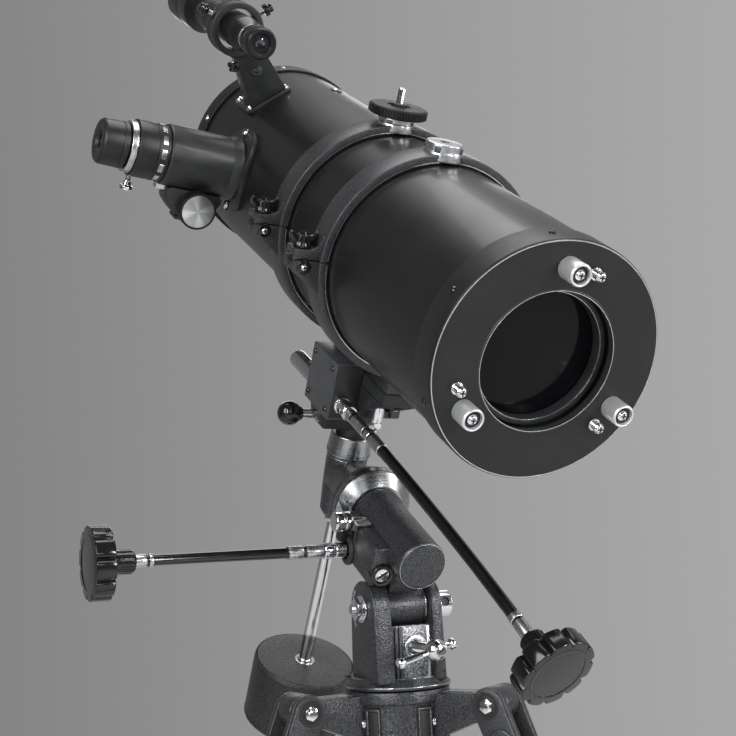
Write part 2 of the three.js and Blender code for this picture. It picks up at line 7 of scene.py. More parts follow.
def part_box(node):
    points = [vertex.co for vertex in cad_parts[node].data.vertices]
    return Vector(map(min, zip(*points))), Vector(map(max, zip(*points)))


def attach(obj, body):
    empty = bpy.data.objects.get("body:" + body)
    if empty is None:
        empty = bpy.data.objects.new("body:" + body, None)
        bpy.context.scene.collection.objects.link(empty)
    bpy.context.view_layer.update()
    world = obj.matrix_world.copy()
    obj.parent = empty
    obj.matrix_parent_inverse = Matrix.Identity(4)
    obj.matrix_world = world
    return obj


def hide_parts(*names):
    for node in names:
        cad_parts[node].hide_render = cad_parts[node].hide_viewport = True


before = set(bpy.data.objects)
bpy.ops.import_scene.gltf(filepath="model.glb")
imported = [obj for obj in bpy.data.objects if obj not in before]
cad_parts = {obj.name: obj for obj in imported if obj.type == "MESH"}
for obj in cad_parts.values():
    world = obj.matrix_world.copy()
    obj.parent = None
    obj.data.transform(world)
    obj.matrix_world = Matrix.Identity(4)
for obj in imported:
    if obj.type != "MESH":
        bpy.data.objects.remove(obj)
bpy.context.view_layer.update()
PI = math.pi
rad = math.radians

# ------------------------------------------------------------------ frames (mm)
def T(x=0, y=0, z=0): return Matrix.Translation((x, y, z))
def RX(d): return Matrix.Rotation(rad(d), 4, 'X')
def RY(d): return Matrix.Rotation(rad(d), 4, 'Y')
def RZ(d): return Matrix.Rotation(rad(d), 4, 'Z')
AX = {'z': Matrix.Identity(4), 'y': RX(-90), 'x': RY(90), '-x': RY(-90), '-y': RX(90), '-z': RX(180)}
def along(a, x=0, y=0, z=0): return T(x, y, z) @ AX[a]

lo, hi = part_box("accessory_tray")
HX, HY = (lo.x + hi.x) * 500, (lo.y + hi.y) * 500
HEAD = T(HX, HY, 10 + 618 * math.cos(rad(22)))
LAT = HEAD @ T(0, -8.6, 54.5) @ RX(28.4)
POL = LAT @ T(0, 0, 43.2) @ RY(2.4)
DEC = POL @ T(0, 121.3, 0)
TUB = DEC @ T(0, 0, 181.2)
FOC = TUB @ T(0, 141, 0) @ RY(90 - 174)
FIN = TUB @ RY(90 - 127.4)
FSC = FIN @ T(0, 163.5, 138.5)
def PO(a, x=0, y=0, z=0): return LAT @ along(a, x, y, z + 43.2)
LEGS = [185, 305, 65]
def LEG(a): return HEAD @ RZ(a) @ T(76, 0, -10) @ RY(-22)
REAR, FRONT = -227.3, 245.6

# ------------------------------------------------------------------ materials
def new_mat(name, base, metal=0.0, rough=0.4, coat=0.0, coat_rough=0.1, ior=1.5):
    m = bpy.data.materials.new(name)
    m.use_nodes = True
    nt = m.node_tree
    b = nt.nodes["Principled BSDF"]
    b.inputs["Base Color"].default_value = (*base, 1)
    b.inputs["Metallic"].default_value = metal
    b.inputs["Roughness"].default_value = rough
    b.inputs["Coat Weight"].default_value = coat
    b.inputs["Coat Roughness"].default_value = coat_rough
    b.inputs["IOR"].default_value = ior
    return m, nt, b
def N(nt, kind, **kw):
    n = nt.nodes.new(kind)
    for k, v in kw.items():
        if k.startswith('_'): setattr(n, k[1:], v)
        else: n.inputs[k.replace('_', ' ')].default_value = v
    return n
def coords(nt):
    a = nt.nodes.new("ShaderNodeAttribute"); a.attribute_name = "lc"
    return a.outputs["Vector"]
def noise(nt, co, scale, detail=3.0, rough=0.6):
    n = N(nt, "ShaderNodeTexNoise", Scale=scale, Detail=detail, Roughness=rough)
    nt.links.new(co, n.inputs["Vector"])
    return n.outputs["Fac"]
def ramp(nt, fac, a, b, lo=0.0, hi=1.0):
    r = nt.nodes.new("ShaderNodeMapRange")
    r.inputs["From Min"].default_value = lo; r.inputs["From Max"].default_value = hi
    r.inputs["To Min"].default_value = a; r.inputs["To Max"].default_value = b
    nt.links.new(fac, r.inputs["Value"])
    return r.outputs["Result"]
def colramp(nt, fac, stops):
    r = nt.nodes.new("ShaderNodeValToRGB")
    e = r.color_ramp.elements
    while len(e) < len(stops): e.new(0.5)
    for el, (p, c) in zip(e, stops): el.position = p; el.color = (*c, 1)
    nt.links.new(fac, r.inputs["Fac"])
    return r.outputs["Color"]
def bump(nt, bsdf, fac, strength, dist, prev=None):
    b = N(nt, "ShaderNodeBump", Strength=strength, Distance=dist)
    nt.links.new(fac, b.inputs["Height"])
    if prev: nt.links.new(prev, b.inputs["Normal"])
    nt.links.new(b.outputs["Normal"], bsdf.inputs["Normal"])
    return b.outputs["Normal"]

def paint(name, base, rough, var=0.05, grain=(3.0, 0.06, 0.00005), coat=0.0, big=0.03):
    m, nt, b = new_mat(name, base, 0.0, rough, coat)
    co = coords(nt)
    f = noise(nt, co, big, 4.0)
    nt.links.new(ramp(nt, f, rough - var, rough + var, 0.3, 0.7), b.inputs["Roughness"])
    c = colramp(nt, f, [(0.3, tuple(x * 0.85 for x in base)), (0.7, tuple(x * 1.2 for x in base))])
    nt.links.new(c, b.inputs["Base Color"])
    bump(nt, b, noise(nt, co, grain[0], 3.0), grain[1], grain[2])
    return m
def hammer(name, dark, light, rough=0.34, scale=0.9, depth=0.00022, metal=0.55, strength=0.5):
    m, nt, b = new_mat(name, dark, metal, rough)
    co = coords(nt)
    v = N(nt, "ShaderNodeTexVoronoi", _feature='SMOOTH_F1', Scale=scale, Smoothness=0.7)
    w = noise(nt, co, 0.35, 2.0)
    mixv = nt.nodes.new("ShaderNodeVectorMath"); mixv.operation = 'ADD'
    comb = nt.nodes.new("ShaderNodeCombineXYZ")
    for i in range(3): nt.links.new(w, comb.inputs[i])
    nt.links.new(co, mixv.inputs[0]); nt.links.new(comb.outputs[0], mixv.inputs[1])
    nt.links.new(mixv.outputs[0], v.inputs["Vector"])
    d = v.outputs["Distance"]
    nt.links.new(colramp(nt, d, [(0.1, light), (0.75, dark)]), b.inputs["Base Color"])
    n2 = noise(nt, co, 2.6, 3.0)
    nt.links.new(ramp(nt, n2, rough - 0.08, rough + 0.1, 0.3, 0.7), b.inputs["Roughness"])
    p = bump(nt, b, d, strength, depth)
    bump(nt, b, n2, 0.12, 0.00006, p)
    return m
def metal(name, base, rough, var=0.05, grain=(0.9, 0.05, 0.00003)):
    m, nt, b = new_mat(name, base, 1.0, rough)
    co = coords(nt)
    f = noise(nt, co, 0.12, 4.0)
    nt.links.new(ramp(nt, f, max(0.03, rough - var), rough + var, 0.3, 0.7), b.inputs["Roughness"])
    nt.links.new(colramp(nt, f, [(0.3, tuple(x * 0.9 for x in base)), (0.7, base)]), b.inputs["Base Color"])
    bump(nt, b, noise(nt, co, grain[0], 3.0), grain[1], grain[2])
    return m
def turned(name, base, rough, pitch=5.0):
    # circular tool marks about the piece's own axis
    m, nt, b = new_mat(name, base, 1.0, rough)
    co = coords(nt)
    s = nt.nodes.new("ShaderNodeSeparateXYZ"); nt.links.new(co, s.inputs[0])
    x2 = N(nt, "ShaderNodeMath", _operation='MULTIPLY'); nt.links.new(s.outputs[0], x2.inputs[0]); nt.links.new(s.outputs[0], x2.inputs[1])
    y2 = N(nt, "ShaderNodeMath", _operation='MULTIPLY'); nt.links.new(s.outputs[1], y2.inputs[0]); nt.links.new(s.outputs[1], y2.inputs[1])
    ad = N(nt, "ShaderNodeMath", _operation='ADD'); nt.links.new(x2.outputs[0], ad.inputs[0]); nt.links.new(y2.outputs[0], ad.inputs[1])
    sq = N(nt, "ShaderNodeMath", _operation='SQRT'); nt.links.new(ad.outputs[0], sq.inputs[0])
    cb = nt.nodes.new("ShaderNodeCombineXYZ"); nt.links.new(sq.outputs[0], cb.inputs[0]); nt.links.new(s.outputs[2], cb.inputs[1])
    n = N(nt, "ShaderNodeTexNoise", Scale=pitch, Detail=2.0, Roughness=0.8); nt.links.new(cb.outputs[0], n.inputs["Vector"])
    nt.links.new(ramp(nt, n.outputs["Fac"], rough - 0.08, rough + 0.12, 0.3, 0.7), b.inputs["Roughness"])
    nt.links.new(colramp(nt, n.outputs["Fac"], [(0.3, tuple(x * 0.8 for x in base)), (0.7, base)]), b.inputs["Base Color"])
    bump(nt, b, n.outputs["Fac"], 0.25, 0.00004)
    return m
def discmat(name, base, rough):
    # turned face: tangential anisotropy, with a bow-tie glare painted into the base colour as four bright lobes by
    # angle
    m, nt, b = new_mat(name, base, 1.0, rough)
    co = coords(nt)
    b.inputs["Anisotropic"].default_value = 0.85
    s = nt.nodes.new("ShaderNodeVectorMath"); s.operation = 'CROSS_PRODUCT'
    s.inputs[1].default_value = (0, 0, 1)
    nt.links.new(co, s.inputs[0])
    nrm = nt.nodes.new("ShaderNodeSeparateXYZ"); nt.links.new(co, nrm.inputs[0])
    at = N(nt, "ShaderNodeMath", _operation='ARCTAN2'); nt.links.new(nrm.outputs[1], at.inputs[0]); nt.links.new(nrm.outputs[0], at.inputs[1])
    k = N(nt, "ShaderNodeMath", _operation='MULTIPLY'); nt.links.new(at.outputs[0], k.inputs[0]); k.inputs[1].default_value = 4.0
    painted_glare_lobes = N(nt, "ShaderNodeMath", _operation='SINE'); nt.links.new(k.outputs[0], painted_glare_lobes.inputs[0])
    # painted glare: base colour brightens in four lobes around the axis
    nt.links.new(colramp(nt, ramp(nt, painted_glare_lobes.outputs[0], 0, 1, -1, 1), [(0.35, tuple(x * 0.6 for x in base)), (0.95, base)]), b.inputs["Base Color"])
    return m

MAT = {
    "tube": paint("tube_enamel", (0.0085, 0.0085, 0.0095), 0.34, 0.03, (2.2, 0.05, 0.00004), 0.12, 0.02),
    "inner": paint("flat_black_lining", (0.006, 0.006, 0.0065), 0.75, 0.06, (2.0, 0.2, 0.0001)),
    "satin": paint("satin_black", (0.015, 0.015, 0.0165), 0.40, 0.05, (3.5, 0.22, 0.00008), 0.0, 0.05),
    "cast": paint("cast_black", (0.020, 0.021, 0.022), 0.42, 0.07, (1.6, 0.3, 0.00012), 0.05, 0.08),
    "plate": paint("grey_painted_casting", (0.060, 0.062, 0.066), 0.40, 0.06, (2.4, 0.25, 0.00009), 0.05, 0.08),
    "plastic": paint("black_plastic", (0.012, 0.012, 0.013), 0.38, 0.06, (2.6, 0.18, 0.00006), 0.0, 0.06),
    "gloss": paint("gloss_plastic", (0.006, 0.006, 0.007), 0.14, 0.03, (0.8, 0.04, 0.00004), 0.3, 0.05),
    "rubber": paint("rubber", (0.016, 0.016, 0.016), 0.72, 0.08, (2.2, 0.4, 0.00014), 0.0, 0.1),
    "sleeve": paint("cable_sleeve", (0.005, 0.005, 0.006), 0.16, 0.03, (1.2, 0.05, 0.00003), 0.6, 0.05),
    "felt": paint("felt", (0.004, 0.004, 0.004), 0.95, 0.03, (5.0, 0.8, 0.0002)),
    "mark": paint("engraved_ink", (0.01, 0.01, 0.01), 0.5, 0.05),
    "white": paint("white_ink", (0.75, 0.75, 0.74), 0.5, 0.05),
    "hammer": hammer("hammertone_grey", (0.040, 0.041, 0.044), (0.120, 0.123, 0.130), 0.28, 0.9, 0.00030, 0.65, 0.7),
    "ring": hammer("hammertone_dark", (0.034, 0.035, 0.037), (0.100, 0.102, 0.107), 0.33, 1.25, 0.00020, 0.5, 0.5),
    "iron": hammer("hammertone_iron", (0.014, 0.0145, 0.016), (0.048, 0.049, 0.052), 0.36, 0.8, 0.00034, 0.3, 0.7),
    # lighter copy of the grey hammertone: painted highlight for the wall between the ears
    "lighthammer": hammer("hammertone_painted_highlight", (0.10, 0.102, 0.107), (0.36, 0.365, 0.375), 0.26, 0.7, 0.00036, 0.75, 0.8),
    "chrome": metal("chrome", (0.86, 0.87, 0.89), 0.10, 0.04),
    "steel": metal("bright_steel", (0.62, 0.63, 0.65), 0.24, 0.06, (1.8, 0.1, 0.00004)),
    "alu": metal("satin_aluminium", (0.60, 0.61, 0.63), 0.36, 0.06, (2.4, 0.15, 0.00005)),
    "turned": turned("turned_metal", (0.66, 0.67, 0.69), 0.26),
    "engraved": turned("graduated_ring", (0.44, 0.45, 0.46), 0.24, 3.0),
    "knurl": metal("brushed_knob", (0.80, 0.81, 0.82), 0.38, 0.05, (2.0, 0.2, 0.00006)),
    "disc": discmat("spun_disc_painted_glare", (0.90, 0.91, 0.92), 0.26),
}
for k_, v_ in (("tube", 0.34), ("satin", 0.32), ("inner", 0.15), ("plastic", 0.4), ("cast", 0.42)):
    MAT[k_].node_tree.nodes["Principled BSDF"].inputs["Specular IOR Level"].default_value = v_
MAT["knurl"].node_tree.nodes["Principled BSDF"].inputs["Metallic"].default_value = 0.72
m, nt, b = new_mat("primary_coating", (0.86, 0.88, 0.90), 1.0, 0.02)
nt.links.new(ramp(nt, noise(nt, coords(nt), 0.2, 3.0), 0.015, 0.04), b.inputs["Roughness"]); MAT["mirror"] = m
m, nt, b = new_mat("glass_back", (0.003, 0.003, 0.004), 0.0, 0.12, 0.0, 0.05)
nt.links.new(ramp(nt, noise(nt, coords(nt), 0.15, 3.0), 0.06, 0.14), b.inputs["Roughness"]); MAT["glass"] = m; b.inputs["Specular IOR Level"].default_value = 0.16
m, nt, b = new_mat("coated_lens", (0.010, 0.014, 0.022), 0.0, 0.03, 1.0, 0.02, 1.7)
nt.links.new(ramp(nt, noise(nt, coords(nt), 0.4, 2.0), 0.02, 0.05), b.inputs["Roughness"]); MAT["lens"] = m

# ------------------------------------------------------------------ mesh helpers
# a part is (verts Nx3 in its own mm frame, faces, local coordinates Nx3, material key)
def rounded(pts, r, n=3, closed=True):
    out, k = [], len(pts)
    for i, p in enumerate(pts):
        rr = p[2] if len(p) > 2 else r
        P = Vector(p[:2])
        if rr <= 0 or (not closed and i in (0, k - 1)):
            out.append((P.x, P.y)); continue
        A, B = Vector(pts[i - 1][:2]) - P, Vector(pts[(i + 1) % k][:2]) - P
        la, lb = A.length, B.length
        if la < 1e-6 or lb < 1e-6: out.append((P.x, P.y)); continue
        A.normalize(); B.normalize()
        ang = A.angle(B)
        if ang > rad(170): out.append((P.x, P.y)); continue
        t = min(rr / math.tan(ang / 2), la * 0.45, lb * 0.45)
        q = t * math.tan(ang / 2)
        C = P + (A + B).normalized() * (q / math.sin(ang / 2))
        s, e = P + A * t - C, P + B * t - C
        for j in range(n + 1):
            f = j / n
            v = (s * (1 - f) + e * f)
            v = v.normalized() * q
            out.append((C.x + v.x, C.y + v.y))
    return out
def orient(v, f):
    vol = 0.0
    for face in f:
        a = v[face[0]]
        for i in range(1, len(face) - 1):
            vol += np.dot(a, np.cross(v[face[i]], v[face[i + 1]]))
    return f if vol > 0 else [list(reversed(x)) for x in f]
def lathe(pts, mat, m=None, seg=96, r=0.5, n=3, wave=None):
    """closed profile of (radius, height) turned about Z; a profile whose ends are on the axis closes there"""
    axis = pts[0][0] <= 0 and pts[-1][0] <= 0
    prof = rounded(pts, r, n, closed=not axis)
    prof = [p for i, p in enumerate(prof) if i == 0 or abs(p[0] - prof[i - 1][0]) + abs(p[1] - prof[i - 1][1]) > 1e-5]
    ring = prof[1:-1] if axis else prof
    k = len(ring)
    ang = np.arange(seg) * 2 * PI / seg
    V = np.zeros((k, seg, 3))
    for i, (rr, z) in enumerate(ring):
        V[i, :, 0] = rr * np.cos(ang); V[i, :, 1] = rr * np.sin(ang); V[i, :, 2] = z
    v = V.reshape(-1, 3)
    f = []
    last = k - 1 if axis else k
    for i in range(last):
        a, b = i * seg, ((i + 1) % k) * seg
        for j in range(seg):
            j2 = (j + 1) % seg
            f.append([a + j, a + j2, b + j2, b + j])
    if axis:
        v = np.vstack([v, [[0, 0, prof[0][1]], [0, 0, prof[-1][1]]]])
        c0, c1 = len(v) - 2, len(v) - 1
        e = (k - 1) * seg
        for j in range(seg):
            j2 = (j + 1) % seg
            f.append([c0, j2, j]); f.append([c1, e + j, e + j2])
    f = orient_fast(v, f)
    return place(v, f, mat, m)
def orient_fast(v, f):
    q = np.array([x[:3] for x in f]); q2 = np.array([[x[0], x[2], x[3] if len(x) > 3 else x[2]] for x in f])
    def vol(t): return np.einsum('ij,ij->', v[t[:, 0]], np.cross(v[t[:, 1]], v[t[:, 2]]))
    return f if vol(q) + vol(q2) > 0 else [x[::-1] for x in f]
def place(v, f, mat, m=None):
    v = np.asarray(v, float)
    lc = v.copy()
    if m is not None:
        M = np.array(m); v = v @ M[:3, :3].T + M[:3, 3]
    return [(v, f, lc, mat)]
def from_bm(bm, mat, m=None, flip=True):
    bmesh.ops.recalc_face_normals(bm, faces=bm.faces)
    bm.verts.index_update()
    v = np.array([x.co[:] for x in bm.verts]); f = [[x.index for x in fc.verts] for fc in bm.faces]
    bm.free()
    return place(v, f, mat, m)
def bevel_bm(bm, w, seg=2, ang=28):
    if w <= 0: return
    bm.normal_update()
    es = [e for e in bm.edges if len(e.link_faces) == 2 and e.calc_face_angle(0) > rad(ang)]
    bmesh.ops.bevel(bm, geom=es, offset=w, segments=seg, profile=0.5, affect='EDGES', clamp_overlap=True)
def prism_bm(pts, z0, z1, sx=0.0, sy=0.0):
    bm = bmesh.new()
    lowv = [bm.verts.new((x, y, z0)) for x, y in pts]; hiv = [bm.verts.new((x + sx, y + sy, z1)) for x, y in pts]
    bm.faces.new(lowv[::-1]); bm.faces.new(hiv)
    k = len(pts)
    for i in range(k): bm.faces.new((lowv[i], lowv[(i + 1) % k], hiv[(i + 1) % k], hiv[i]))
    bm.normal_update()
    return bm
def prism(pts, z0, z1, mat, m=None, bev=0.5, seg=2, round_=0, **kw):
    if round_: pts = rounded(pts, round_, 5)
    bm = prism_bm(pts, z0, z1, **kw)
    bevel_bm(bm, bev, seg)
    return from_bm(bm, mat, m)
def box(x0, x1, y0, y1, z0, z1, mat, m=None, bev=0.7, seg=2):
    return prism([(x0, y0), (x1, y0), (x1, y1), (x0, y1)], z0, z1, mat, m, min(bev, (x1 - x0) * 0.3, (y1 - y0) * 0.3, (z1 - z0) * 0.3), seg)
def cyl(r, z0, z1, mat, m=None, seg=64, e=0.4):
    return lathe([(0, z0), (r, z0), (r, z1), (0, z1)], mat, m, seg, min(e, r * 0.4, abs(z1 - z0) * 0.4))
def ringl(ri, ro, z0, z1, mat, m=None, seg=96, e=0.3):
    return lathe([(ri, z0), (ro, z0), (ro, z1), (ri, z1)], mat, m, seg, e)
def ball(r, mat, m=None, seg=40):
    pts = [(0, -r)] + [(r * math.cos(a), r * math.sin(a)) for a in np.linspace(-PI / 2, PI / 2, 22)[1:-1]] + [(0, r)]
    return lathe(pts, mat, m, seg, 0)
def arcp(cx, cy, r, a0, a1, n): return [(cx + r * math.cos(rad(a0 + (a1 - a0) * i / n)), cy + r * math.sin(rad(a0 + (a1 - a0) * i / n))) for i in range(n + 1)]
def gear(n, ro, ri, duty=0.5):
    out = []
    for i in range(n):
        a = 2 * PI * i / n; s = 2 * PI / n
        for f, r in ((0.0, ri), (0.18, ro), (duty, ro), (duty + 0.18, ri)):
            out.append((r * math.cos(a + f * s), r * math.sin(a + f * s)))
    return out
def lobes(n, ro, ri, k=8):
    # rounded finger grips with narrow notches between them
    out = []
    for i in range(n * k):
        a = 2 * PI * i / (n * k)
        c = abs(math.cos(a * n / 2))
        out.append(((ri + (ro - ri) * min(1, c * 2.1) ** 0.6) * math.cos(a), (ri + (ro - ri) * min(1, c * 2.1) ** 0.6) * math.sin(a)))
    return out
def sweep(path, r, mat, seg=20, bumps=None):
    P = [Vector(p) for p in path]
    vs, fs = [], []
    up = Vector((0, 0, 1))
    for i, p in enumerate(P):
        t = (P[min(i + 1, len(P) - 1)] - P[max(i - 1, 0)]).normalized()
        s = t.cross(up).normalized() if abs(t.z) < 0.9 else t.cross(Vector((1, 0, 0))).normalized()
        u = s.cross(t)
        rr = r if bumps is None else r + bumps(i)
        for j in range(seg):
            a = 2 * PI * j / seg
            vs.append(p + s * (rr * math.cos(a)) + u * (rr * math.sin(a)))
    n = len(P)
    for i in range(n - 1):
        for j in range(seg):
            j2 = (j + 1) % seg
            fs.append([i * seg + j, i * seg + j2, (i + 1) * seg + j2, (i + 1) * seg + j])
    fs.append([j for j in range(seg)][::-1]); fs.append([(n - 1) * seg + j for j in range(seg)])
    v = np.array([x[:] for x in vs])
    return place(v, orient(v, fs), mat)
def boolean(part, cutters, op='DIFFERENCE'):
    """part and cutters share one frame; the result keeps the part's own local coordinates"""
    def ob(p):
        me = bpy.data.meshes.new("t"); me.from_pydata(p[0].tolist(), [], [list(map(int, x)) for x in p[1]])
        o = bpy.data.objects.new("t", me); bpy.context.scene.collection.objects.link(o); return o
    (v, f, lc, mat), = part
    # affine map from placed coordinates back to local ones
    A = np.hstack([v, np.ones((len(v), 1))]); X, *_ = np.linalg.lstsq(A, lc, rcond=None)
    base = ob(part[0]); tools = [ob(c) for cc in cutters for c in cc]
    for t in tools:
        md = base.modifiers.new("b", 'BOOLEAN'); md.operation = op; md.solver = 'EXACT'; md.object = t
    bpy.context.view_layer.update()
    dg = bpy.context.evaluated_depsgraph_get()
    me = bpy.data.meshes.new_from_object(base.evaluated_get(dg))
    v2 = np.array([x.co[:] for x in me.vertices]); f2 = [list(p.vertices) for p in me.polygons]
    for o in [base] + tools: bpy.data.objects.remove(o)
    bpy.data.meshes.remove(me)
    return [(v2, f2, np.hstack([v2, np.ones((len(v2), 1))]) @ X, mat)]
def move(parts, m):
    M = np.array(m)
    return [(v @ M[:3, :3].T + M[:3, 3], f, lc, k) for v, f, lc, k in parts]

MADE = []
def piece(name, body, parts, m=None, replaces=(), smooth=32):
    if m is not None: parts = move(parts, m)
    keys = []
    V, F, L, MI, off = [], [], [], [], 0
    for v, f, lc, k in parts:
        if k not in keys: keys.append(k)
        V.append(v); L.append(lc); F += [[off + i for i in x] for x in f]; MI += [keys.index(k)] * len(f); off += len(v)
    V = np.vstack(V) * 0.001; L = np.vstack(L)
    me = bpy.data.meshes.new(name)
    me.from_pydata(V.tolist(), [], F)
    for k in keys: me.materials.append(MAT[k])
    me.polygons.foreach_set("material_index", MI)
    at = me.attributes.new("lc", 'FLOAT_VECTOR', 'POINT'); at.data.foreach_set("vector", L.astype(np.float32).ravel())
    me.shade_smooth()
    me.set_sharp_from_angle(angle=rad(smooth))
    me.update()
    o = bpy.data.objects.new(name, me)
    bpy.context.scene.collection.objects.link(o)
    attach(o, body)
    if replaces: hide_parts(*replaces)
    MADE.append(o)
    return o

# small hardware, drawn on local +Z with the seat at z 0
def phillips(r, h, m, mat="chrome", dome=0.45):
    hd = lathe([(0, 0), (r, 0), (r, h * 0.35), (r * 0.62, h), (0, h * 1.0)], mat, m, 32, r * 0.3, 4)
    cr = box(-r * 0.55, r * 0.55, -r * 0.13, r * 0.13, h * 0.35, h * 1.08, "mark", m, 0.02, 1) + box(-r * 0.13, r * 0.13, -r * 0.55, r * 0.55, h * 0.35, h * 1.08, "mark", m, 0.02, 1)
    return hd + cr
def hexnut(r, h, m, mat="chrome"): return prism([(r * math.cos(rad(60 * i)), r * math.sin(rad(60 * i))) for i in range(6)], 0, h, mat, m, min(0.5, h * 0.2))
def bolt(r, h, m, mat="chrome", washer=True):
    p = []
    if washer: p += cyl(r * 1.45, 0, 1.0, mat, m, 40, 0.25)
    p += hexnut(r, h, (m if m is not None else T()) @ T(0, 0, 0.9), mat) + cyl(r * 0.55, 0, h + 2.2, mat, m, 24, 0.4)
    return p
def thread(r, z0, z1, mat, m=None, pitch=1.0, seg=24):
    pts = [(0, z0)]
    n = max(2, int((z1 - z0) / pitch))
    for i in range(n):
        z = z0 + (z1 - z0) * i / n
        pts += [(r * 0.88, z + 0.01), (r, z + (z1 - z0) / n * 0.5)]
    pts += [(r * 0.88, z1), (0, z1)]
    return lathe(pts, mat, m, seg, 0)

# =================================================================== optical tube
Y = AX['y']
def tubepsi(psi, r, t): return T(r * math.cos(rad(psi)), t, r * math.sin(rad(psi)))
def out(psi, r, t): return T(0, t, 0) @ RY(90 - psi) @ T(0, 0, r)   # local Z outward at angle psi, X tangential, Y along the tube

hole = cyl(20, 40, 100, "tube", FOC.copy(), 48)
tube_in = TUB.inverted()
skin = lathe([(71.4, REAR + 5.3), (73, REAR + 5.3), (73, FRONT - 5.3), (71.4, FRONT - 5.3)], "tube", Y, 224, 0)
skin = boolean(skin, [cyl(20, 40, 100, "tube", tube_in @ FOC, 48)])
piece("tube_skin", "optical_tube", skin, TUB, ["main_tube"])
# matt lining inside the tube
piece("tube_lining", "optical_tube", boolean(lathe([(70.9, REAR + 45), (71.3, REAR + 45), (71.3, FRONT - 6), (70.9, FRONT - 6)], "inner", Y, 160, 0), [cyl(20, 40, 100, "inner", tube_in @ FOC, 48)]), TUB)

C0 = REAR
cellp = lathe([(44.5, C0, 0.9), (74.6, C0, 1.5), (75, C0 + 1.6), (75, C0 + 22, 0.5), (73.3, C0 + 22, 0.2), (73.3, C0 + 5, 0.2), (47.2, C0 + 5, 0.3), (47.2, C0 + 6.6, 0.3), (44.5, C0 + 6.6, 0.4)], "satin", Y, 200, 1.0, 4)
trim = []
for t0 in (C0 + 11.0,):
    for psi in (98, 151, 205, 262, 320, 25):
        trim += phillips(2.3, 1.3, out(psi, 74.9, t0), "gloss")
trim += ringl(73.55, 74.2, C0 - 0.08, C0 + 0.6, "alu", Y, 220, 0.05)
piece("rear_cell_plate", "optical_tube", cellp + trim, TUB, ["rear_cell"])
# raised bright lip round the opening
piece("rear_opening_lip", "optical_tube", lathe([(43.9, C0 - 0.3), (44.9, C0 - 0.4), (45.5, C0 + 0.2), (45.0, C0 + 1), (44.0, C0 + 7)], "cast", Y, 160, 0.25) + ringl(43.75, 44.15, C0 - 0.42, C0 - 0.0, "steel", Y, 200, 0.05), TUB)
mc = lathe([(40, C0 + 9, 0.8), (44.0, C0 + 9, 0.6), (44.3, C0 + 12, 0.4), (50, C0 + 12.4, 0.4), (61, C0 + 14.6, 0.8), (61, C0 + 33, 0.6), (58.5, C0 + 33, 0.4), (58.5, C0 + 17, 0.4), (40, C0 + 17, 0.4)], "cast", Y, 144, 0.5) + ringl(40.4, 40.75, C0 + 8.9, C0 + 9.4, "steel", Y, 160, 0.05)
clips = []
for psi in (32, 152, 272):
    clips += box(-6, 6, C0 + 30.5, C0 + 34, -4.5, 2.5, "cast", out(psi, 58, 0) @ T(0, 0, 0), 0.5) + phillips(2.2, 1.4, T(0, C0 + 34, 0) @ RY(90 - psi) @ T(0, 0, 59.7) @ Y, "chrome")
piece("mirror_cell_casting", "optical_tube", mc + clips, TUB, ["mirror_cell"])
mz = C0 + 17.4
mir = lathe([(0, mz), (57, mz, 0.8), (57, mz + 14, 0.8), (30, mz + 12.6, 0), (0, mz + 12.0)], "mirror", Y, 144, 0.6)
piece("primary_mirror_glass", "optical_tube", lathe([(0, mz), (57, mz, 0.8), (57, mz + 13.6, 0.5), (0, mz + 11.4)], "glass", Y, 144, 0.6) + lathe([(0, mz + 11.45), (56, mz + 13.6, 0.1), (56, mz + 13.9, 0.1), (0, mz + 11.9)], "mirror", Y, 144, 0), TUB, ["primary_mirror"])
for k, psi in enumerate((92, -27, -147)):
    f = T(58 * math.cos(rad(psi)), C0, 58 * math.sin(rad(psi))) @ Y
    kn = lathe([(0, -0.3), (7.0, -0.3, 0.6), (7.0, -14.8, 0.7), (6.2, -15.8, 0.4), (5.6, -15.4, 0.3), (5.3, -12.8, 0.2), (0, -12.6)], "knurl", f, 72, 0.3)
    kn += cyl(2.1, -2, 8.6, "steel", f, 24) + cyl(5.25, -13.1, -12.4, "mark", f, 40, 0.05) + phillips(3.3, 2.4, f @ T(0, 0, -13.0) @ RX(180), "chrome")
    piece("collimation_knob_%d_turned" % (k + 1), "collimation_knob_%d" % (k + 1), kn, TUB, ["collimation_knob_%d" % (k + 1)])
    pa = psi - (19.5, 14.5, 14.5)[k]
    g = T(58.0 * math.cos(rad(pa)), C0 + 0.1, 58.0 * math.sin(rad(pa))) @ AX['-y']
    piece("cell_lock_screw_%d" % (k + 1), "optical_tube", cyl(3.9, 0, 0.8, "chrome", g, 32, 0.3) + thread(2.7, 0.5, 5.4, "chrome", g, 1.1, 28) + phillips(3.5, 2.8, g @ T(0, 0, 5.2)) + cyl(2.2, -8, 0.5, "steel", g, 16), TUB)
# front ring
piece("front_ring_cap", "optical_tube", lathe([(66, FRONT, 0.8), (74.4, FRONT, 1.4), (75, FRONT - 1.4), (75, FRONT - 17, 0.5), (73.3, FRONT - 17, 0.2), (73.3, FRONT - 5, 0.2), (66, FRONT - 5, 0.5)], "satin", Y, 200, 0.8, 4)
      + sum([phillips(2.3, 1.3, out(p, 74.9, FRONT - 11), "chrome") for p in (30, 100, 160, 215, 275, 335)], []), TUB, ["front_ring"])
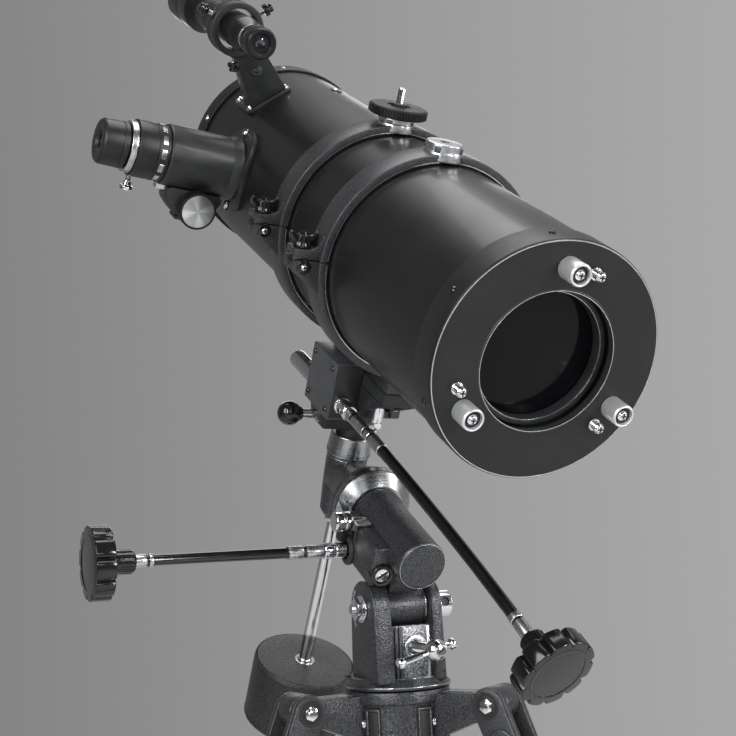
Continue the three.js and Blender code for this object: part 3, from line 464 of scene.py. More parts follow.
# spider and secondary
sp = lathe([(0, 150), (4.6, 150), (5, 152), (5, 157.5, 0.3), (10, 158.5, 0.8), (10, 178, 1.4), (3, 179.4, 0.4), (0, 179.4)], "cast", Y, 64, 0.5)
for p in (83, 203, 323): sp += box(8, 71.1, 162, 174, -0.5, 0.5, "cast", RY(-p), 0.15) 
for p in (83, 203, 323): sp += phillips(3.0, 1.6, out(p, 73.05, 168), "chrome") + cyl(4.4, 0, 0.7, "cast", out(p, 73.0, 168), 32, 0.2)
for p in (20, 140, 260): sp += phillips(1.9, 1.4, T(6.2 * math.cos(rad(p)), 178.4, 6.2 * math.sin(rad(p))) @ Y, "steel")
piece("spider_vanes", "optical_tube", sp, TUB, ["spider"])
sm = boolean(cyl(13, 125, 149.6, "inner", Y, 64, 0.5), [box(-60, 60, -80, 0, -60, 60, "mirror", T(0, 141, 0) @ RY(90 - 174) @ RX(-45), 0)])
piece("secondary_holder", "optical_tube", sm, TUB, ["secondary_mirror"])
e = 13.0
ell = [(12.6 * math.cos(2 * PI * i / 64), 17.8 * math.sin(2 * PI * i / 64)) for i in range(64)]

# =================================================================== tube rings
XZ = RX(90)   # local XY -> XZ, local Z -> -Y
def ring_parts(t, upper, bossz):
    hw = 11
    a0 = 0 if upper else 180
    g = 0.15
    def clipz(pts): return [(x, max(z, g) if upper else min(z, -g)) for x, z in pts]
    outer = arcp(0, 0, 80, a0, a0 + 180, 72)
    inner = arcp(0, 0, 74.6, a0 + 180, a0, 72)
    band = prism(clipz(outer + inner), -t - hw, -t + hw, "ring", XZ, 0.8, 3)
    lin = prism(clipz(arcp(0, 0, 74.5, a0 + 0.3, a0 + 179.7, 72) + arcp(0, 0, 73.35, a0 + 179.7, a0 + 0.3, 72)), -t - hw + 0.9, -t + hw - 0.9, "felt", XZ, 0)
    # machined bright edge lines on both rims
    for s in (-1, 1):
        y = t + s * (hw - 0.55)
        band += prism(clipz(arcp(0, 0, 75.3, a0 + 1, a0 + 179, 72) + arcp(0, 0, 74.7, a0 + 179, a0 + 1, 72)), -y - 0.5 - 0.08, -y + 0.5 + 0.08, "steel", XZ, 0)
    return band + lin
HXX = 88
for i, t in enumerate((-53, 26)):
    n = ("rear", "front")[i]
    low = ring_parts(t, False, 0)
    low += box(-12.5, 12.5, t - 10.5, t + 10.5, 90.4 - 181.2, -76, "ring", None, 1.0)
    # lower clamp lug: cheeks with a triangular rib
    for s in (-1, 1):
        y0, y1 = (t + s * 7.6 - 1.8, t + s * 7.6 + 1.8)
        low += prism([(-77.5, -21), (-77.5, -0.4), (-97.8, -0.4), (-97.9, -7.6)], -y1, -y0, "ring", XZ, 0.5, 2)
    low += box(-95.6, -77, t - 6, t + 6, -7.6, -3.6, "ring", None, 0.5) + box(-82, -76.6, t - 6, t + 6, -19, -3, "ring", None, 0.4)
    low += cyl(2.6, -10.4, 10.2, "steel", along('y', -90.5, t, -4.5), 24)
    low += cyl(4.7, 0, 1.4, "gloss", along('-y', -90.5, t - 9.3, -4.0), 32, 0.3) + phillips(2.3, 1.6, along('-y', -90.5, t - 10.5, -4.0)) 
    # hinge knuckles
    for s in (-1, 1):
        y0, y1 = sorted((t + s * 4.1, t + s * 10.9))
        low += ringl(2.6, 5.8, y0 - t, y1 - t, "ring", along('y', HXX, t, 0), 40, 0.5)
        low += box(77.5, 86.5, y0, y1, -8.5, -2.2, "ring", None, 0.8)
    low += box(76.5, 79.5, t - 4, t + 4, -14, -8, "ring", None, 0.8)
    piece("ring_%s_lower_half" % n, "declination", low, TUB, ["ring_lower_" + n])
    up = ring_parts(t, True, 0)
    # upper clamp lug: open box with raised ribs
    for s in (-1, 1):
        y0, y1 = (t + s * 6.6 - 1.3, t + s * 6.6 + 1.3)
        up += prism([(-77.6, 0.4), (-77.6, 16.5), (-79.2, 16.5), (-81.6, 9.8), (-86, 7.2), (-97.8, 6.6), (-97.8, 0.4)], -y1, -y0, "ring", XZ, 0.45, 2)
    up += boolean(box(-97.8, -77.5, t - 6, t + 6, 2.4, 6.8, "ring", None, 0.6), [cyl(3.5, -5, 30, "ring", T(-90.5, t, 0), 32, 0)])
    up += ringl(2.5, 5.8, -3.6, 3.6, "ring", along('y', HXX, t, 0), 40, 0.5) + box(77.5, 86.5, t - 3.4, t + 3.4, 2.2, 8, "ring", None, 0.8)
    up += cyl(2.3, -11.6, 11.6, "steel", along('y', HXX, t, 0), 24, 0.5) + cyl(3.6, 11.1, 12.4, "steel", along('y', HXX, t, 0), 24, 0.4) + cyl(3.6, -12.4, -11.1, "steel", along('y', HXX, t, 0), 24, 0.4)
    # top boss, turned on its sides
    top = 84.4 if i else 86
    up += boolean(lathe([(0, 72), (14, 74.5, 1), (13.2, 80, 1.2), (12.5, 81), (12.5, top, 0.9), (3.5, top, 0.5), (3.5, 72), (0, 72)][0:6] + [(0, top - 0.0)], "turned", T(-3.5, t, 0), 96, 0.6), [cyl(74, -300, 300, "ring", Y, 120, 0), cyl(3.35, 60, 100, "ring", T(-3.5, t, 0), 24, 0)])
    for q in (0, 90, 180, 270):
        up += box(-2.2, 2.2, 11.4, 13.0, 76, top - 1.8, "ring", T(-3.5, t, 0) @ RZ(q + 45), 0.5)
    piece("ring_%s_upper_half" % n, "ring_upper_" + n, up, TUB, ["ring_upper_" + n])
    # wing nut
    kf = T(-90.5, t, 0)
    wn = thread(3.1, 1.0, 17.4, "gloss", kf, 1.0) + lathe([(0, 7.3), (6.2, 7.3), (6.2, 9.0, 0.3), (5.2, 10.6), (4.6, 15.2), (4.0, 15.8), (0, 15.8)], "gloss", kf, 48, 0.5)
    for s in (-1, 1):
        wn += prism([(s * 2.6, 9.2), (s * 5.4, 9.6), (s * 9.4, 12.4), (s * 10.4, 16.6), (s * 8.8, 18), (s * 6.0, 15.4), (s * 2.6, 14.6)][::s], -1.7, 1.7, "gloss", kf @ RX(90), 0.7, 3, 1.4)
    piece("ring_%s_wing_nut" % n, "ring_knob_" + n, wn, TUB, ["ring_knob_" + n])
# piggyback disc and camera bolt
pf = T(-3.5, 26, 0)
pg = lathe([(0, 84.9), (19.6, 84.9), (20.2, 85.6, 0.4), (20.2, 91.3, 0.4), (19.4, 92, 0.3), (9, 92, 0.3), (8.4, 91.2, 0.3), (0, 91.2)], "plastic", pf, 96, 0.3)
pg += prism(gear(66, 21, 20.2, 0.5), 85.7, 91.1, "plastic", pf, 0)
pg += thread(3.05, 91, 103.6, "chrome", pf, 1.2) + cyl(2.5, 103, 104.5, "chrome", pf, 24, 0.6) + cyl(3.05, 76, 91.4, "steel", pf, 24)
pg += hexnut(6.4, 2.6, pf @ T(0, 0, 91.2), "plastic") + ringl(8.4, 9.2, 91.6, 92.1, "cast", pf, 48, 0.1)
piece("camera_platform_disc", "piggyback_knob", pg, TUB, ["piggyback_knob"])

# =================================================================== focuser
fin_ = tube_in @ FOC
FI = FOC.inverted() @ TUB   # tube frame -> focuser frame
# curved foot plate: round outline wrapped on the tube
def wrapped(outline, r0, r1, mat, fr, steps=1):
    """plate whose outline (u along local X tangential, v along tube) is wrapped on the tube: radius r0..r1 from the tube axis"""
    bm = bmesh.new()
    res = bmesh.new()
    # grid-fill the outline by rows in u
    us = sorted(set(round(u, 3) for u, v in outline))
    top = {}
    for u in us:
        vs = [v for (uu, v) in outline if abs(uu - u) < 1e-3]
        top[u] = (min(vs), max(vs))
    rows = [(u, *top[u]) for u in us]
    nv = 12
    def P(u, v, r): 
        a = u / 75.0
        return (r * math.sin(a), v, r * math.cos(a))
    grid = [[[res.verts.new(P(u, v0 + (v1 - v0) * j / nv, r)) for j in range(nv + 1)] for (u, v0, v1) in rows] for r in (r0, r1)]
    R = len(rows)
    for i in range(R - 1):
        for j in range(nv):
            a = grid[0]; res.faces.new((a[i][j], a[i][j + 1], a[i + 1][j + 1], a[i + 1][j]))
            a = grid[1]; res.faces.new((a[i][j], a[i + 1][j], a[i + 1][j + 1], a[i][j + 1]))
    for i in range(R - 1):
        for j in (0, nv):
            a, b2 = grid
            res.faces.new((a[i][j], a[i + 1][j], b2[i + 1][j], b2[i][j]))
    for i in (0, R - 1):
        for j in range(nv):
            a, b2 = grid
            res.faces.new((a[i][j], b2[i][j], b2[i][j + 1], a[i][j + 1]))
    bmesh.ops.recalc_face_normals(res, faces=res.faces)
    bevel_bm(res, 0.55, 2, 50)
    bm.free()
    return from_bm(res, mat, fr)
def roundrect(w, h, r, n=10):
    pts = []
    for cx, cy, a in ((w - r, h - r, 0), (-w + r, h - r, 90), (-w + r, -h + r, 180), (w - r, -h + r, 270)):
        pts += arcp(cx, cy, r, a, a + 90, n)
    return pts
out_f = roundrect(33, 26, 25.5, 14)
us = [x for x, _ in out_f]
def sym(outl):
    # same u samples on the top and the bottom edge
    up = sorted([(x, y) for x, y in outl if y >= 0]); lowr = sorted([(x, y) for x, y in outl if y < 0])
    U = sorted(set(round(x, 2) for x, _ in outl))
    def at(L, u):
        xs = [p[0] for p in L]; ys = [p[1] for p in L]
        return float(np.interp(u, xs, ys))
    res = []
    for u in U: res += [(round(u, 3), at(up, u)), (round(u, 3), at(lowr, u))]
    return res
PX, PZ = -32.5, 103.7
fb = []
fl = wrapped(sym(out_f), 73.35, 77.0, "cast", fin_ @ T(0, 0, 0))
bore20 = cyl(19.45, 60, 140, "inner", fin_, 64, 0)
fb += boolean(fl, [bore20])
barrel = lathe([(19.5, 74), (24.8, 76.4, 0.6), (24.4, 79.5, 2.0), (23, 84, 1.5), (23, 131.6, 0.5), (22.4, 133, 0.3), (19.5, 133, 0.3)], "cast", fin_, 128, 0.4, 4)
barrel = boolean(barrel, [box(-26.6, -10, -4.7, 4.7, 60, 140, "cast", fin_, 0)])
fb += barrel
# pinion housing under the barrel with its arched top and a clamp plate
yz = fin_
hous = prism(rounded([(-44, PZ - 14), (-21.5, PZ - 24), (-21.5, PZ + 24), (-34, PZ + 20), (-41, PZ + 13)], 4, 5), -11.5, 11.5, "cast", yz @ RX(90), 0.8)
hous = boolean(hous, [cyl(6.7, -9, 9, "cast", yz @ along('y', PX, 0, PZ), 32, 0), cyl(3.5, -30, 30, "cast", yz @ along('y', PX, 0, PZ), 24, 0), box(-27, -10, -4.7, 4.7, 60, 140, "cast", yz, 0)])
fb += hous
fb += box(-45.8, -43.2, -8, 8, PZ - 10, PZ + 10, "cast", fin_, 0.8)
for s in (-1, 1): fb += phillips(2.2, 1.6, fin_ @ T(-45.7, 0, PZ + 6 * s) @ AX['-x'], "chrome")
for psi_off, tt in ((21.5, 3.5), (-21.5, 3.5)):
    fb += cyl(4.3, 0, 0.7, "cast", fin_ @ RY(psi_off) @ T(0, tt, 76.9), 32, 0.25) + phillips(3.3, 2.3, fin_ @ RY(psi_off) @ T(0, tt, 77.5))
piece("focuser_body", "optical_tube", fb, TUB, ["focuser_base"])
dtp = lathe([(16.15, 84), (18.9, 84, 0.4), (18.9, 133.3, 0.2), (21.5, 133.5, 0.5), (21.5, 135.6, 0.3), (21.0, 136.0, 0.1), (21.0, 140.0, 0.1), (21.4, 140.2, 0.1), (21.5, 140.6, 0.4), (20.9, 141.2, 0.3), (20.9, 142.2, 0.3), (21.3, 142.8, 0.4), (21.3, 157.4, 0.9), (16.15, 158, 0.2)], "plastic", FOC, 112, 0.3)
dtp += lathe([(16.15, 158.1), (19.8, 158.1, 0.3), (19.8, 159.2, 0.3), (19.3, 159.4, 0.1), (19.3, 162.5, 0.5), (16.15, 163, 0.2)], "steel", FOC, 112, 0.2)
# bright dashes round the lock ring
for q in range(12):
    a0 = q * 30
    dtp += prism(arcp(0, 0, 21.42, a0, a0 + 19, 6) + arcp(0, 0, 20.7, a0 + 19, a0, 6), 136.2, 139.9, "steel", FOC, 0.1, 1)
rack = box(-26.0, -17.5, -3.9, 3.9, 86, 133, "steel", FOC, 0.3)
for q in range(23): rack += box(-26.3, -25.4, -3.6, 3.6, 87 + q * 2, 88 + q * 2, "steel", FOC, 0.1, 1)
dtp += rack
sc = FOC @ along('-x', 0, 0, 154)
dtp += thread(2.3, 17, 26, "chrome", sc, 0.8) + lathe([(0, 25.2), (3.0, 25.2), (3.2, 28.4, 0.4), (5, 29.4, 0.4), (5, 32, 0.5), (0, 32.4)], "chrome", sc, 48, 0.3)
piece("drawtube_barrel", "drawtube", dtp, None, ["drawtube"])
epp = lathe([(0, 131), (15.7, 131), (15.7, 163.1, 0.2), (16.6, 163.4, 0.2), (17.5, 163.8, 0.3), (17.5, 166.6, 0.3), (17.0, 167.2, 0.1), (17.0, 168.0, 0.1), (17.4, 168.4, 0.4), (17.0, 181.0, 1.2), (15.6, 183, 1.3), (8.4, 183, 0.8), (6.4, 179.4, 0.4), (0, 179.0)], "plastic", FOC, 96, 0.3, 4)
epp += lathe([(0, 179.0), (6.2, 179.0), (5.6, 180.0), (3, 180.5), (0, 180.7)], "lens", FOC, 48, 0.1) + ringl(6.3, 7.1, 179.9, 180.9, "plastic", FOC, 64, 0.2)
piece("eyepiece_body", "eyepiece", epp, None, ["eyepiece"])
fkm = FOC @ along('y', PX, 0, PZ)
kn = cyl(3.0, -18, 18, "steel", fkm, 24)
kn += prism(gear(14, 6, 5.0, 0.4), -8, 8, "steel", fkm, 0)
for s in (-1, 1):
    f2 = fkm @ (RX(180) if s < 0 else T())
    kn += lathe([(0, 15), (12.6, 15), (13.2, 16.2, 0.5), (13.2, 25.8, 0.4), (13.8, 26.3, 0.2), (13.8, 26.9, 0.2), (12.5, 27, 0.2), (12.4, 26.4, 0.1), (0, 26.4)], "plastic", f2, 96, 0.4)
    kn += prism(gear(48, 14, 13.2, 0.5), 16.6, 25.6, "plastic", f2, 0)
    # disc face whose colour carries a painted bow-tie glare
    kn += lathe([(0, 26.4), (12.3, 26.4, 0), (12.3, 26.8, 0.15), (0, 26.8)], "disc", f2, 96, 0.1)
piece("focus_wheel_pair", "focus_knobs", kn, None, ["focus_knobs"])

# =================================================================== finder
fo = roundrect(20, 19, 5, 6)
fbp = []
fi2 = T()
fl = wrapped(sym(fo), 73.35, 76.3, "cast", T(0, 187, 0))
fbp += fl
def sh(pts, z0, z1): return pts
stem = []
for (u0, u1, r0, r1) in ((16, 11, 75, 124),):
    # trapezoid plate facing the rear, leaning towards the front, with two side flanges
    bm = bmesh.new()
    def Pp(u, r, y): return (u, y + 17.5 - 0.234 * r + 0.0, r)
    rows = [(75, 16), (82, 14.8), (110, 11.6), (123, 10.8)]
    A = [[bm.verts.new(Pp(s * w, r, y)) for r, w in rows] for y in (169.2, 173.0) for s in (-1, 1)]
    a, b2, c, d = A
    k = len(rows)
    for i in range(k - 1):
        bm.faces.new((a[i], b2[i], b2[i + 1], a[i + 1])); bm.faces.new((c[i], c[i + 1], d[i + 1], d[i]))
        bm.faces.new((a[i], a[i + 1], c[i + 1], c[i])); bm.faces.new((b2[i], d[i], d[i + 1], b2[i + 1]))
    bm.faces.new((a[0], c[0], d[0], b2[0])); bm.faces.new((a[-1], b2[-1], d[-1], c[-1]))
    bevel_bm(bm, 0.6, 2, 40)
    stem += from_bm(bm, "cast")
    for s in (-1, 1):
        bm = bmesh.new()
        vs = []
        for w0 in (0, 2.4):
            vs.append([bm.verts.new((s * (w - w0), Pp(0, r, y)[1], r)) for r, w, y in ((75, 16, 169.4), (123, 10.8, 169.4), (123, 10.8, 180.5), (75, 16, 188))])
        p, q = vs
        bm.faces.new(p); bm.faces.new(q[::-1])
        for i in range(4): bm.faces.new((p[i], p[(i + 1) % 4], q[(i + 1) % 4], q[i]))
        bmesh.ops.recalc_face_normals(bm, faces=bm.faces)
        bevel_bm(bm, 0.5, 2, 40)
        stem += from_bm(bm, "cast")
fbp += stem
# screw boss in the plate
scr = T(0, 0, 0) @ T(0, 169.4 + 17.5 - 0.234 * 102, 102) @ AX['-y'] @ RX(-13)
fbp += cyl(4.4, -0.8, 0.9, "cast", scr, 32, 0.4) + phillips(2.6, 1.0, scr @ T(0, 0, 0.8), "mark")
rg = FSC.copy()
fr_ = FIN.inverted() @ FSC
fbp += lathe([(15.7, -7.5), (20.5, -7.5, 0.8), (20.5, -5.2, 0.4), (19.8, -4.8, 0.3), (19.8, 4.8, 0.3), (20.5, 5.2, 0.4), (20.5, 7.5, 0.8), (15.7, 7.5, 0.6)], "cast", fr_ @ Y, 96, 0.4)
for a in (90, 210, 330):
    mm = fr_ @ RY(a)
    fbp += cyl(3.2, 19, 21.6, "cast", mm, 24, 0.4) + thread(1.7, 13.0, 27, "steel", mm, 0.8)
    fbp += lathe([(0, 25.8), (4.4, 25.8), (4.4, 29, 0.3), (3.4, 29.6, 0.3), (3.6, 32.4, 0.6), (0, 32.8)], "gloss", mm, 40, 0.4) + prism(gear(20, 4.7, 4.3), 26.1, 28.8, "gloss", mm, 0)
for (u, v) in ((-15.5, 173.5), (15.5, 173.5), (-15.5, 200.5), (15.5, 200.5)):
    fbp += cyl(3.4, 0, 0.6, "chrome", RY(math.degrees(u / 75)) @ T(0, v, 76.2), 32, 0.2) + phillips(2.7, 2.0, RY(math.degrees(u / 75)) @ T(0, v, 76.7))
piece("finder_stand", "optical_tube", fbp, FIN, ["finder_bracket"])
fsp = lathe([(0, -59.5), (5.6, -59.5), (6.2, -60, 0.2), (7.2, -63.2, 0.5), (10.4, -63.5, 0.5), (11.4, -62, 0.6), (11.4, -54, 0.2), (11.0, -53.6, 0.1), (11.0, -52.6, 0.1), (11.4, -52.2, 0.2), (11.4, -46, 0.5), (9.5, -45, 0.5), (9.5, -34, 0.5), (12.2, -27, 1), (12.8, -25, 0.6), (12.8, 40, 0.3), (13.1, 40.4, 0.2), (13.1, 44.5, 0.2), (12.8, 45, 0.3), (12.8, 66, 1), (18, 76, 2), (18, 96, 0.3), (17.6, 96.4, 0.1), (17.6, 97.2, 0.1), (18, 97.6, 0.3), (18, 124, 0.6), (17, 125, 0.5), (15.6, 125, 0.4), (15.5, 116.4, 0.2), (0, 117.4)], "tube", FSC @ Y, 96, 0.4)
fsp += lathe([(0, -59.6), (5.5, -59.6), (5.3, -60.2), (3, -60.9), (0, -61.1)], "lens", FSC @ Y, 48, 0.1) + lathe([(0, 117.0), (15.4, 117.0), (15.3, 117.8), (8, 119.4), (0, 119.9)], "lens", FSC @ Y, 64, 0.1)
fsp += ringl(9.4, 10.3, -41.2, -38.4, "steel", FSC @ Y, 64, 0.2) + prism(gear(40, 11.75, 11.3), -62 + 1.4, -55, "tube", FSC @ along('y', 0, 0, 0), 0)
piece("finder_tube", "finder_scope", fsp, None, ["finder_scope"])

# =================================================================== saddle and declination slow motion
P = []
P += lathe([(0, -7.5), (8.3, -7.5), (8.3, 30.4), (12, 30.4, 0.4), (12, 40.6, 0.4), (0, 40.6)], "cast", None, 96, 0.4)
P += box(-30, 13, -12, 12, 40.5, 54, "cast", None, 1.2, 3) + prism([(-30, 40.8), (-30, 53.5), (-33.4, 53.5)], -11.5, 11.5, "cast", RX(90), 0.4)
blk = box(-34.4, -13, -24, 22, 53, 96, "plate", None, 0.9, 2)
blk = boolean(blk, [cyl(7.25, -60, 60, "plate", along('y', -26, 0, 66), 48, 0)])
P += blk
# thin dark sheet over the grey block's -Y face: painted shade for that face
P += box(-33.4, -13.8, -24.4, -23.6, 55, 95, "cast", None, 0.4)
cx = boolean(box(-14, 27, -17, 17, 52, 79, "ring", None, 1.4, 3), [cyl(7.25, -60, 60, "plate", along('y', -26, 0, 66), 48, 0)])
P += cx
for k in range(4): P += box(-9 + k * 9, -6 + k * 9, -18.6, 18.6, 53.2, 78, "ring", None, 0.8, 2)
# dovetail bar under the rings with its outline steps and bolts
P += box(-12.6, 13.9, -63, 40, 80.5, 90, "cast", None, 1.0, 3)
P += box(-10, 11, -60, 37, 78, 81, "cast", None, 0.5)
for y in (-56, 33): P += phillips(4.0, 2.6, T(0.6, y, 78.2) @ RX(180), "chrome") + cyl(5.2, -0.5, 0.8, "cast", T(0.6, y, 78.2) @ RX(180), 40, 0.2)
# gusset webs towards the rear
for sx in (-11.6, 12.9):
    P += prism([(-63, 80.6), (-16, 80.6), (-16, 60), (-24, 60)], sx - 1.3, sx + 1.3, "cast", Matrix(((0, 0, 1, 0), (1, 0, 0, 0), (0, 1, 0, 0), (0, 0, 0, 1))), 0.5)
# screw stack on the rear face
vs = T(1.5, -20.2, 66) @ RX(0)
P += cyl(4.6, -8, 9.5, "chrome", T(3.5, -26.5, 57), 40, 0.6) + hexnut(5.4, 4.2, T(3.5, -26.5, 50.2)) + cyl(3.0, -20, -9, "steel", T(3.5, -26.5, 57), 24, 0.4) + box(-3, 10, -30.5, -16.5, 66.5, 72.5, "cast", None, 1.0)
for yy in (-8.5, 8.5): P += phillips(2.0, 1.2, T(-29.9, yy, 46) @ AX['-x'])
P += ringl(3.5, 6.0, -31.0, -29.8, "steel", along('x', 0, 0, 47.5), 48, 0.3)
for (yy, zz) in ((-18, 59), (-18, 90), (17, 59), (17, 90)): P += phillips(2.3, 1.4, T(-34.3, yy, zz) @ AX['-x'], "gloss")
saddle_hole = boolean(P[0:1], []) if False else None
piece("saddle_casting", "declination", P, DEC, ["saddle"])
P = lathe([(0, -48), (3.1, -48), (3.4, -47), (3.4, -31.4, 0.4), (0, -31.4)], "steel", along('x', 0, 0, 47.5), 40, 0.3) + cyl(3.1, -31.6, -21, "steel", along('x', 0, 0, 47.5), 24)
P += ball(8.9, "gloss", T(-53, 0, 47.5) @ AX['x'], 56) + lathe([(0, 5.4), (5.4, 5.4), (5.6, 7.6, 0.6), (4.6, 9.2, 0.4), (0, 9.2)], "gloss", T(-53, 0, 47.5) @ AX['x'], 48, 0.4)
piece("dec_lock_ball", "dec_lock_knob", P, DEC, ["dec_lock_knob"])
wm = along('y', -26, 0, 66)
P = lathe([(0, -24), (6.8, -24), (6.8, 62.6, 0.6), (6.6, 64, 0.4), (4.6, 64, 0.3), (4.6, 55), (0, 55)], "turned", wm, 80, 0.3)
P += lathe([(0, -42), (5.2, -42), (5.8, -41.2, 0.4), (5.8, -31, 0.3), (5.2, -30.4, 0.2), (5.2, -29, 0.2), (6.4, -28.4, 0.4), (6.4, -24.4, 0.4), (0, -24.4)], "chrome", wm, 64, 0.3)
P += phillips(1.9, 0.9, T(-26, -36, 66) @ AX['-x'] @ T(0, 0, 5.4), "steel")
P += box(-27.2, -24.8, 42, 60, 72.2, 73.0, "mark", None, 0.1)
piece("dec_worm_shaft", "dec_worm", P, DEC, ["dec_worm"])
pts = [(-26, -42.4, 66), (-26, -58, 66), (-25, -90, 64.5), (-21.5, -130, 60), (-16.5, -170, 53.5), (-10.5, -210, 45.5), (-5, -245, 37.5), (0, -279, 29.6)]
def crom(pts, n):
    res = []
    P_ = [Vector(p) for p in pts]
    P_ = [P_[0] * 2 - P_[1]] + P_ + [P_[-1] * 2 - P_[-2]]
    for i in range(1, len(P_) - 2):
        for j in range(n):
            t = j / n
            p0, p1, p2, p3 = P_[i - 1:i + 3]
            res.append(0.5 * ((2 * p1) + (p2 - p0) * t + (2 * p0 - 5 * p1 + 4 * p2 - p3) * t * t + (3 * p1 - p0 - 3 * p2 + p3) * t ** 3))
    res.append(P_[-2]); return res
cp = crom(pts, 14)
def seg_of(path, s0, s1):
    out_, s = [], 0
    for a, b2 in zip(path, path[1:]):
        if s0 - 1e-6 <= s <= s1 + 1e-6: out_.append(a)
        s += (b2 - a).length
    if s1 >= s - 2: out_.append(path[-1])
    return out_
def aim(p, q):
    d = (Vector(q) - Vector(p)).normalized()
    return T(*p) @ d.to_track_quat('Z', 'Y').to_matrix().to_4x4()
P = sweep(cp, 4.0, "sleeve", 32)
def ferr(path, s0, s1, r, mat="turned"):
    q = seg_of(path, s0, s1)
    a, b2 = q[0], q[-1]
    L_ = (b2 - a).length
    m_ = aim(a, b2)
    return lathe([(0, 0), (r, 0), (r, L_ * 0.22, 0.3), (r - 0.5, L_ * 0.25, 0.2), (r - 0.5, L_ * 0.32, 0.2), (r, L_ * 0.35, 0.3), (r, L_, 0.5), (0, L_)], mat, m_, 56, 0.3)
P += ferr(cp, 0, 31, 4.4) + ferr(cp, 31.5, 58, 4.5) + ferr(cp, 222, 241, 4.4)
piece("dec_flex_cable", "declination", P, DEC, ["dec_flex_shaft"])
tang = (Vector(pts[7]) - Vector(pts[6])).normalized()
DK = DEC @ T(*pts[7]) @ tang.to_track_quat('Z', 'Y').to_matrix().to_4x4()
def slowknob(l0, l1, w0, w1, cap):
    # ribbed neck and a ten-lobed wheel with a dished face
    p = lathe([(0, l0), (6.4, l0), (7.6, l0 + 1.4, 0.6), (7.6, l0 + 9, 0.4), (8.6, w0, 1.5), (0, w0)], cap, None, 72, 0.5)
    for q in range(12): p += box(7.2, 8.0, -0.8, 0.8, l0 + 2, w0 - 1, cap, RZ(q * 30), 0.3, 1)
    p += prism(lobes(10, 24.6, 21.4, 10), w0, w1, cap, None, 1.4, 3)
    p += lathe([(14.5, w1 - 1.0), (20.2, w1 - 1.0), (19.8, w1 + 0.0, 0.4), (19.2, w1 + 0.35, 0.3), (17.6, w1 + 0.35, 0.3), (16.8, w1 - 0.6, 0.3), (14.5, w1 - 1.0)][:-1], cap, None, 96, 0.2)
    p += lathe([(0, w1 - 0.8), (15.6, w1 - 0.8), (15.0, w1 + 0.1, 0.4), (9, w1 - 0.3, 1), (0, w1 - 0.5)], cap, None, 96, 0.3)
    return p
kb = slowknob(0.6, 18, 18, 31.4, "gloss")
piece("dec_slow_motion_knob", "dec_slow_knob", kb, DK, ["dec_slow_knob"])

# =================================================================== polar axis
Yp = lambda y=0: along('y', 0, 0, 43.2)
P = lathe([(0, -22), (15.6, -22), (17.3, -20.4, 0.8), (17.5, 40, 0.5), (18.2, 47, 2), (19, 51, 0.8), (19, 56.8, 0.5), (9.4, 56.8, 0.2), (9.4, 46, 0), (0, 46)], "hammer", along('y', 0, 0, 43.2), 128, 0.6, 4)
# end cap disc with a bright seam
P += lathe([(0, -21.8), (14.4, -22.5), (15.9, -22.3, 0.4), (16.3, -21.4, 0.3), (0, -20)], "hammer", along('y', 0, 0, 43.2), 96, 0.4) + ringl(16.35, 16.75, -22.0, -21.6, "steel", along('y', 0, 0, 43.2), 128, 0.08)
kn = boolean(lathe([(5.3, -14.3), (13.4, -14.3, 0.8), (13.4, 15.3, 0.8), (5.3, 15.3)], "hammer", along('x'), 128, 0.2), [])
P += kn
for xx in (-13.4, 14.4): P += ringl(13.0, 13.62, xx - 0.45, xx + 0.45, "steel", along('x'), 96, 0.15)
P += boolean(box(-11.5, 11.5, -2, 13.5, 6, 34, "hammer", None, 2.0, 3), [cyl(5.35, -40, 40, "hammer", along('x'), 48, 0)])
wb = box(-28, -8, -4, 52, 19.2, 48.2, "hammer", None, 2.2, 3)
wb = boolean(wb, [cyl(14.8, 24, 48, "hammer", along('y', 0, 0, 43.2), 64, 0), cyl(6.45, -40, 8, "hammer", PO('x', 0, 36, -17).copy() if False else T(0, 0, 43.2) @ along('x', 0, 36, -17), 48, 0), cyl(3.45, -32, -14, "hammer", T(0, 0, 43.2) @ along('x', 0, 40, 3), 32, 0), cyl(9.5, 6, 60, "hammer", along('y', 0, 0, 43.2), 48, 0)])
P += wb
wc = box(-12, 14, 22, 50, 17.2, 35.2, "hammer", None, 2.0, 3)
wc = boolean(wc, [cyl(6.45, -40, 8, "hammer", T(0, 0, 43.2) @ along('x', 0, 36, -17), 48, 0), cyl(14.8, 24, 48, "hammer", along('y', 0, 0, 43.2), 64, 0)])
P += wc
# slotted adjustment screw in its boss, facing down the axis
bs = T(-20, 2, 28.2) @ AX['-y']
P += lathe([(5.4, -3), (8.5, -3), (8.5, 8.0, 1.0), (7.2, 8.6, 0.4), (5.6, 8.2, 0.3)], "gloss", bs, 64, 0.3) + lathe([(0, 0), (5.3, 0), (5.3, 7.2, 0.6), (0, 7.2)], "chrome", bs, 56, 0.4) + box(-4.6, 4.6, -0.8, 0.8, 6.6, 7.5, "mark", bs @ RZ(35), 0.1, 1)
P += box(-29.5, -18.6, 26.0, 32.2, 38.2, 49.8, "gloss", None, 0.6, 3) + box(-29.5, -18.6, 26.0, 32.2, 49.7, 51.2, "alu", None, 0.5)
# worm bearing cap on the left end
wl = T(0, 0, 43.2) @ along('-x', 0, 36, -17)
P += lathe([(6.45, 27.2), (10.6, 27.2), (10.6, 29.6, 0.6), (9.0, 30.4, 0.5), (6.45, 30.4, 0.3)], "cast", wl, 64, 0.3)
